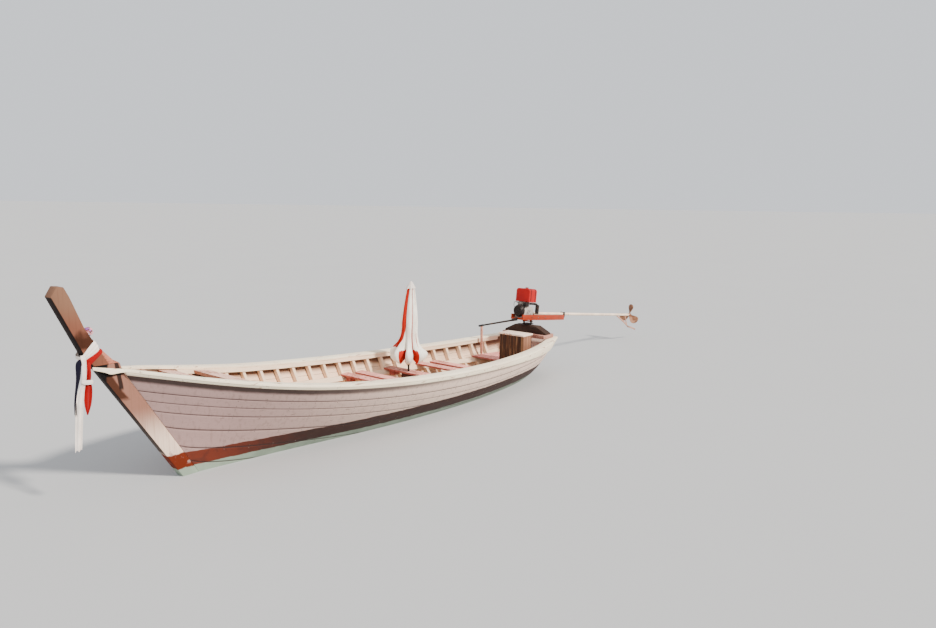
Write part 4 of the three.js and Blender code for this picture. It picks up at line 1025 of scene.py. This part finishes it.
def fold_point(share, angle):
    """Point of the closed canopy at a share of its height: full lobes, creases, a scalloped hem"""
    turn = angle - FACING
    index = round(turn * FOLDS / (2 * pi)) % FOLDS
    uneven = UNEVEN[index]
    lobe = abs(cos(FOLDS / 2 * turn))
    hem = HEM - (SCALLOP + 0.012 * uneven) * lobe ** 0.6
    height = hem + (CANOPY_PROFILE[-1][0] - hem) * share
    across = sin(turn)
    lift = FLARE_LEFT * max(0.0, -across) - FLARE_RIGHT * max(0.0, across)
    lift *= max(0.0, 1 - abs(height - FLARE_HEIGHT) / FLARE_REACH)
    _, outer, inner, sharp = canopy_profile(height - lift)
    outer *= 1 + 0.04 * uneven * max(0.0, 1 - share * 2.2)
    low = max(0.0, 1 - share * 2.0)
    radius = inner + (outer - inner) * lobe ** sharp
    radius += 0.0035 * sin(19 * angle + 9 * share + uneven) * (0.35 + low)
    radius += 0.004 * sin(31 * share + 2.3 * index) * low * lobe
    spin = angle + 0.07 * sin(9 * share + 1.7 * index) * (1 - lobe) * (0.4 + low)
    return parasol_axis(height) + polar(radius, spin)


def stripe_depth(point):
    """How far inside the nearest red stripe a point of the canopy lies, in metres along the cloth"""
    off = point - parasol_axis(point.z)
    bearing = degrees(atan2(off.y, off.x) - FACING)
    low, high = 1 - share_of(point.z, *WAIST), share_of(point.z, 1.15, 1.75)
    best = -1.0
    for above, below, top, middle, hem, lowest, highest in STRIPES:
        if lowest < point.z < highest:
            away = abs((bearing - above - (below - above) * low + 180) % 360 - 180)
            half = middle + (hem - middle) * low + (top - middle) * high
            best = max(best, half - radians(away) * hypot(off.x, off.y))
    return best


def declared(piece, finish, slot, stands_for, flat_width):
    """The skin made a thin cloth with smooth shading and fitted; the length its area makes at the width given
    is worked out but not kept
    """
    area = sum(face.area for face in piece.data.polygons)
    modified(piece, "SOLIDIFY", thickness=0.0012, offset=0.0)
    fitted(smoothed(piece, 70), finish, "hull", slot, *stands_for)
    round(area / flat_width, 3)


rings = []
for row in range(CANOPY_ROWS + 1):
    share = (row / CANOPY_ROWS) ** 1.3
    rings.append([fold_point(share, angle) for angle in around(CANOPY_SIDES)])
canopy = facing(lofted("parasol_canopy_cloth", rings, wrap=True), lambda p: Vector((*(p - PARASOL).xy, 0)))
stripe = canopy.data.attributes.new("stripe", "FLOAT", "POINT")
for k, vertex in enumerate(canopy.data.vertices):
    stripe.data[k].value = stripe_depth(vertex.co)
rings = []
for height, radius in TOP_FLAP:
    loose = (CANOPY_TIP - height) / (CANOPY_TIP - TOP_FLAP[0][0])
    ring = []
    for angle in around(FLAP_SIDES):
        fold = cos(FOLDS * (angle - FACING)) * loose
        middle = parasol_axis(height - 0.006 * fold * loose ** 2)
        ring.append(middle + polar(radius * (1 + 0.10 * fold), angle))
    rings.append(ring)
flap = facing(lofted("parasol_top_flap", rings, wrap=True), lambda p: Vector((*(p - PARASOL).xy, 0.3)))
declared(canopy, "canopy", "canopy_cloth", ("parasol_canopy",), 1.26)
declared(flap, "white_cloth", "canopy_cloth", (), 0.22)


# Sashes round the prow post: wound bands, and tails that hang in folds
LEAN = radians(26)
SLOPE = radians(39)
SASH_AT = Vector((4.300, 0, 1.470))
UP_POST = Vector((sin(LEAN), 0, cos(LEAN)))
AHEAD = Vector((cos(SLOPE), 0, -sin(SLOPE)))
POST_HALF = 0.072
BAND_TURNS = 72
BAND_ROWS = 18
BAND_REACH = 0.079
CORNER = 0.34
TAIL_COLUMNS = 20
RAGGED = 0.012
KNOT_AT = Vector((4.384, 0.112, 1.262))
KNOT = {"half": 0.050, "deep": 0.021, "high": 0.022, "turns": 40, "rows": 10}


def sash_band(name, low, high, aft, thick, folds, seed):
    """A band of gathered cloth round the post and knee between two distances along the post at each end"""
    phase = random.Random(seed).uniform(0, 6)
    rings = []
    for angle in around(BAND_TURNS):
        c, s = cos(angle), sin(angle)
        flat = (abs(c) ** (2 / CORNER) + abs(s) ** (2 / CORNER)) ** (-CORNER / 2)
        foot, head = [a + (b - a) * (0.5 + 0.5 * c) for a, b in (low, high)]
        ring = []
        for j in range(BAND_ROWS + 1):
            w = j / BAND_ROWS
            fold = 0.0030 * sin(2 * pi * folds * w + 1.3 * sin(angle + phase) + phase)
            off = 0.003 + sin(pi * w) ** 0.6 * thick + fold * sin(pi * w)
            reach = BAND_REACH if c > 0 else aft
            ring.append(SASH_AT + UP_POST * (foot + (head - foot) * w) + AHEAD * (c * flat * (reach + off)) +
                        Vector((0, s * flat * (POST_HALF + off), 0)))
        rings.append(ring)
    band = edited(lofted(name, rings + rings[:1]), merge)
    return facing(band, lambda p: Vector((p.x - SASH_AT.x, p.y * 2, 0)))


def sash_tail(name, spine, folds, depth, seed):
    """A hanging strip of cloth along a spine of (x, y, z, half width), folded down its length"""
    phase = random.Random(seed).uniform(0, 6)
    line = smooth_run([Vector(p[:3]) for p in spine], 8)
    halves = smooth_run([Vector((p[3], 0, 0)) for p in spine], 8)
    rings = []
    for i, (centre, half) in enumerate(zip(line, halves)):
        down = i / (len(line) - 1)
        ring = []
        for j in range(TAIL_COLUMNS + 1):
            w = 2 * j / TAIL_COLUMNS - 1
            swing = phase + 1.6 * sin(3.0 * down + phase)
            out = depth * min(1.0, 0.35 + down) * sin(pi * folds * w + swing)
            curl = 0.010 * w * sin(2.2 * down * pi + phase)
            hem = RAGGED * sin(5 * w + phase) if i == len(line) - 1 else 0.0
            ring.append(centre + Vector((half.x * w * (1 - 0.06 * sin(7 * down)), out + curl, hem)))
        rings.append(ring)
    return facing(lofted(name, rings), lambda p: Vector((0, 1, 0)))


def sash_knot():
    """A lap of the white cloth round the tails"""
    rings = []
    for k in range(KNOT["turns"] + 1):
        angle = 2 * pi * k / KNOT["turns"]
        ring = []
        for j in range(KNOT["rows"] + 1):
            w = 2 * j / KNOT["rows"] - 1
            puff = 1 + 0.16 * cos(pi / 2 * w) + 0.05 * sin(9 * w + 3 * sin(angle))
            ring.append(KNOT_AT + Vector((KNOT["half"] * puff * cos(angle), KNOT["deep"] * puff * sin(angle),
                                          KNOT["high"] * w + 0.007 * cos(angle))))
        rings.append(ring)
    return facing(edited(lofted("sash_knot", rings), merge), lambda p: p - KNOT_AT)


# x, y, z and half width down each tail
WHITE_TAIL = [(4.400, 0.088, 1.524, 0.018), (4.402, 0.104, 1.494, 0.024), (4.400, 0.111, 1.455, 0.024),
              (4.403, 0.112, 1.380, 0.024), (4.411, 0.112, 1.286, 0.017), (4.424, 0.112, 1.240, 0.017),
              (4.452, 0.112, 1.150, 0.026), (4.472, 0.112, 1.000, 0.028), (4.490, 0.112, 0.800, 0.030),
              (4.506, 0.112, 0.593, 0.031)]
RED_TAIL = [(4.346, 0.088, 1.450, 0.020), (4.354, 0.104, 1.420, 0.024), (4.360, 0.112, 1.380, 0.023),
            (4.364, 0.112, 1.320, 0.021), (4.372, 0.112, 1.262, 0.017), (4.378, 0.112, 1.210, 0.032),
            (4.384, 0.112, 1.130, 0.038), (4.390, 0.112, 1.030, 0.032), (4.398, 0.112, 0.946, 0.010)]
NAVY_TAIL = [(4.410, 0.094, 1.492, 0.018), (4.436, 0.097, 1.470, 0.026), (4.449, 0.098, 1.430, 0.027),
             (4.452, 0.098, 1.380, 0.027), (4.458, 0.097, 1.310, 0.025), (4.472, 0.096, 1.240, 0.020),
             (4.490, 0.095, 1.150, 0.014), (4.500, 0.094, 1.050, 0.012), (4.503, 0.094, 0.946, 0.008)]
SASHES = [
    # colour, parts, width of the cut
    ("white", [sash_band("sash_white_band", (0.014, 0.052), (0.134, 0.094), 0.108, 0.008, 3.0, 1),
               sash_tail("sash_white_tail", WHITE_TAIL, 1.6, 0.008, 2), sash_knot()], 0.12),
    ("red", [sash_band("sash_red_band", (-0.024, -0.028), (0.013, 0.050), 0.118, 0.009, 2.5, 3),
             sash_tail("sash_red_tail", RED_TAIL, 1.6, 0.008, 4)], 0.12),
    ("navy", [sash_tail("sash_navy_tail", NAVY_TAIL, 1.3, 0.004, 5)], 0.06),
]
for colour, parts, width in SASHES:
    sash = joined(f"sash_{colour}_cloth", parts)
    finish = f"{colour}_cloth"
    declared(sash, finish, finish, (f"sash_{colour}",), width)


# Garland: small five-petalled flowers in a bunch against the post
def flower(at, outward, size):
    """A cupped flower of five petals"""
    add = bpy.ops.mesh.primitive_circle_add
    petals = started("petals", add, vertices=10, radius=size, fill_type="TRIFAN")
    for vertex in petals.data.vertices:
        reach = vertex.co.length / size
        spoke = round(atan2(vertex.co.y, vertex.co.x) / (pi / 5)) % 2
        vertex.co *= 1.0 if spoke else 0.55
        vertex.co.z = reach * size * (0.45 if spoke else 0.30)
    return turned(petals, at, outward)


low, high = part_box("garland")
rng = random.Random(23)
bunches = {"purple_petal": [], "pink_petal": []}
for k in range(70):
    out = Vector((rng.gauss(0, 1), rng.gauss(0, 1), rng.gauss(0, 1))).normalized()
    at = (low + high) / 2 + Vector([out[i] * (high - low)[i] * 0.40 for i in range(3)])
    kind = "pink_petal" if out.x < -0.1 or rng.random() < 0.25 else "purple_petal"
    bunches[kind].append(flower(at, out, rng.uniform(0.011, 0.016)))
for kind, petals in bunches.items():
    piece = modified(joined(f"garland_{kind}s", petals), "SOLIDIFY", thickness=0.0008, offset=0.0)
    fitted(piece, kind, "hull", "flowers", "garland")

# Propeller: hub from the solid's profile and three twisted blades
TO_SHAFT = Matrix.Translation((-7.7299, 0, 0.5839)) @ SHAFT_SLOPE
BLADE = [
    # radius, half chord, half thickness, angle of the chord from the rotor's plane
    (0.018, 0.030, 0.0100, 60),
    (0.080, 0.070, 0.0086, 46),
    (0.145, 0.098, 0.0072, 36),
    (0.195, 0.092, 0.0060, 30),
    (0.230, 0.058, 0.0045, 26),
    (0.245, 0.020, 0.0030, 25),
]
HUB_PROFILE = [
    # radius, distance forward along the shaft
    (0.020, -0.058),
    (0.026, -0.054),
    (0.034, -0.040),
    (0.034, 0.044),
    (0.028, 0.053),
    (0.012, 0.054),
]
BLADES = 3
FIRST_BLADE = radians(-7)
rings = [[Vector((x, r * cos(a), r * sin(a))) for a in around(32)] for r, x in HUB_PROFILE]
parts = [smoothed(lofted("hub", rings, wrap=True, ends=True))]
rows = smooth_run([Vector(row[:3]) for row in BLADE], 5)
angles = smooth_run([Vector((row[3], 0, 0)) for row in BLADE], 5)
for k in range(BLADES):
    rings = []
    for (reach, chord, thick), angle in zip(rows, angles):
        c, s = cos(radians(angle.x)), sin(radians(angle.x))
        ring = []
        for a in around(20):
            w = cos(a)
            out = thick * sin(a) * (1 - 0.25 * w) + 0.035 * chord * (1 - w ** 2)
            ring.append(Vector((chord * w * s + out * c, chord * w * c - out * s, reach)))
        rings.append(ring)
    blade = smoothed(lofted("blade", rings, wrap=True, ends=True), 50)
    parts.append(placed(blade, Matrix.Rotation(FIRST_BLADE - k * 2 * pi / BLADES, 4, "X")))
parts.append(bar("propeller_shaft", (0.050, 0, 0), (0.088, 0, 0), 0.012, 24))
parts.append(bar("propeller_nut", (-0.058, 0, 0), (-0.074, 0, 0), 0.018, 6))
fitted(placed(joined("propeller_cast", parts), TO_SHAFT), "bronze", "propeller", "bronze", "propeller")

# Floor at the waterline, open where the hull floats in it
HOLE_INSET = 0.012
FLOOR_RADIUS = 2500
FLOOR_PALE, FLOOR_GREY = (0.46, 0.46, 0.46), (0.44, 0.44, 0.44)
line = smooth_run([at_height(curve, 0.0) for curve in CURVES], STATION_STEPS)
inner = [Vector((p.x, p.y - HOLE_INSET, 0)) for p in line]
inner += mirrored(inner, -1)[::-1]
outer = [polar(FLOOR_RADIUS, 2 * pi * (k + 0.5) / len(inner)) for k in range(len(inner))]
floor = facing(lofted("pale_floor", [inner, outer], wrap=True), lambda p: Vector((0, 0, 1)))
f = Finish("pale_floor_paint", 0.1)
floor.data.materials.append(f.done(f.coated(FLOOR_PALE, (f.cloud(3.0), FLOOR_GREY)), 0.9))

# Camera at the photograph's angle
CAMERA_AT = (7.52927, 7.29076, 3.02)
CAMERA_RIGHT = (-0.619462, 0.784905, 0.013808)
CAMERA_UP = (-0.107787, -0.102464, 0.98888)
CAMERA_BACK = (0.777592, 0.611085, 0.148075)
view = bpy.data.cameras.new("portrait_camera")
view.sensor_width = 36
view.sensor_fit = "HORIZONTAL"
view.lens = 28
camera = bpy.data.objects.new("portrait_camera", view)
camera.matrix_world = Matrix((*zip(CAMERA_RIGHT, CAMERA_UP, CAMERA_BACK, CAMERA_AT), (0, 0, 0, 1)))
bpy.context.scene.collection.objects.link(camera)
bpy.context.scene.camera = camera

# Soft sunlight from port, a weaker light from the bow, and a pale sky all round
LAMPS = [
    # name, place that it shines from towards the origin, power, angle across, colour
    ("sun_light", (-2.0, 12.0, 10.0), 6.3, 7, (1.0, 0.95, 0.88)),
    ("fill_light", (13.0, 4.0, 6.0), 0.54, 40, (0.92, 0.96, 1.0)),
]
for name, place, power, across, colour in LAMPS:
    data = bpy.data.lights.new(name, "SUN")
    data.energy = power
    data.angle = radians(across)
    data.color = colour
    light = bpy.data.objects.new(name, data)
    light.location = place
    light.rotation_euler = Vector(place).to_track_quat("Z", "Y").to_euler()
    bpy.context.scene.collection.objects.link(light)
world = bpy.data.worlds.new("studio_air")
world.use_nodes = True
sky = world.node_tree.nodes["Background"]
sky.inputs["Color"].default_value = (0.86, 0.89, 0.94, 1)
sky.inputs["Strength"].default_value = 1.12
bpy.context.scene.world = world
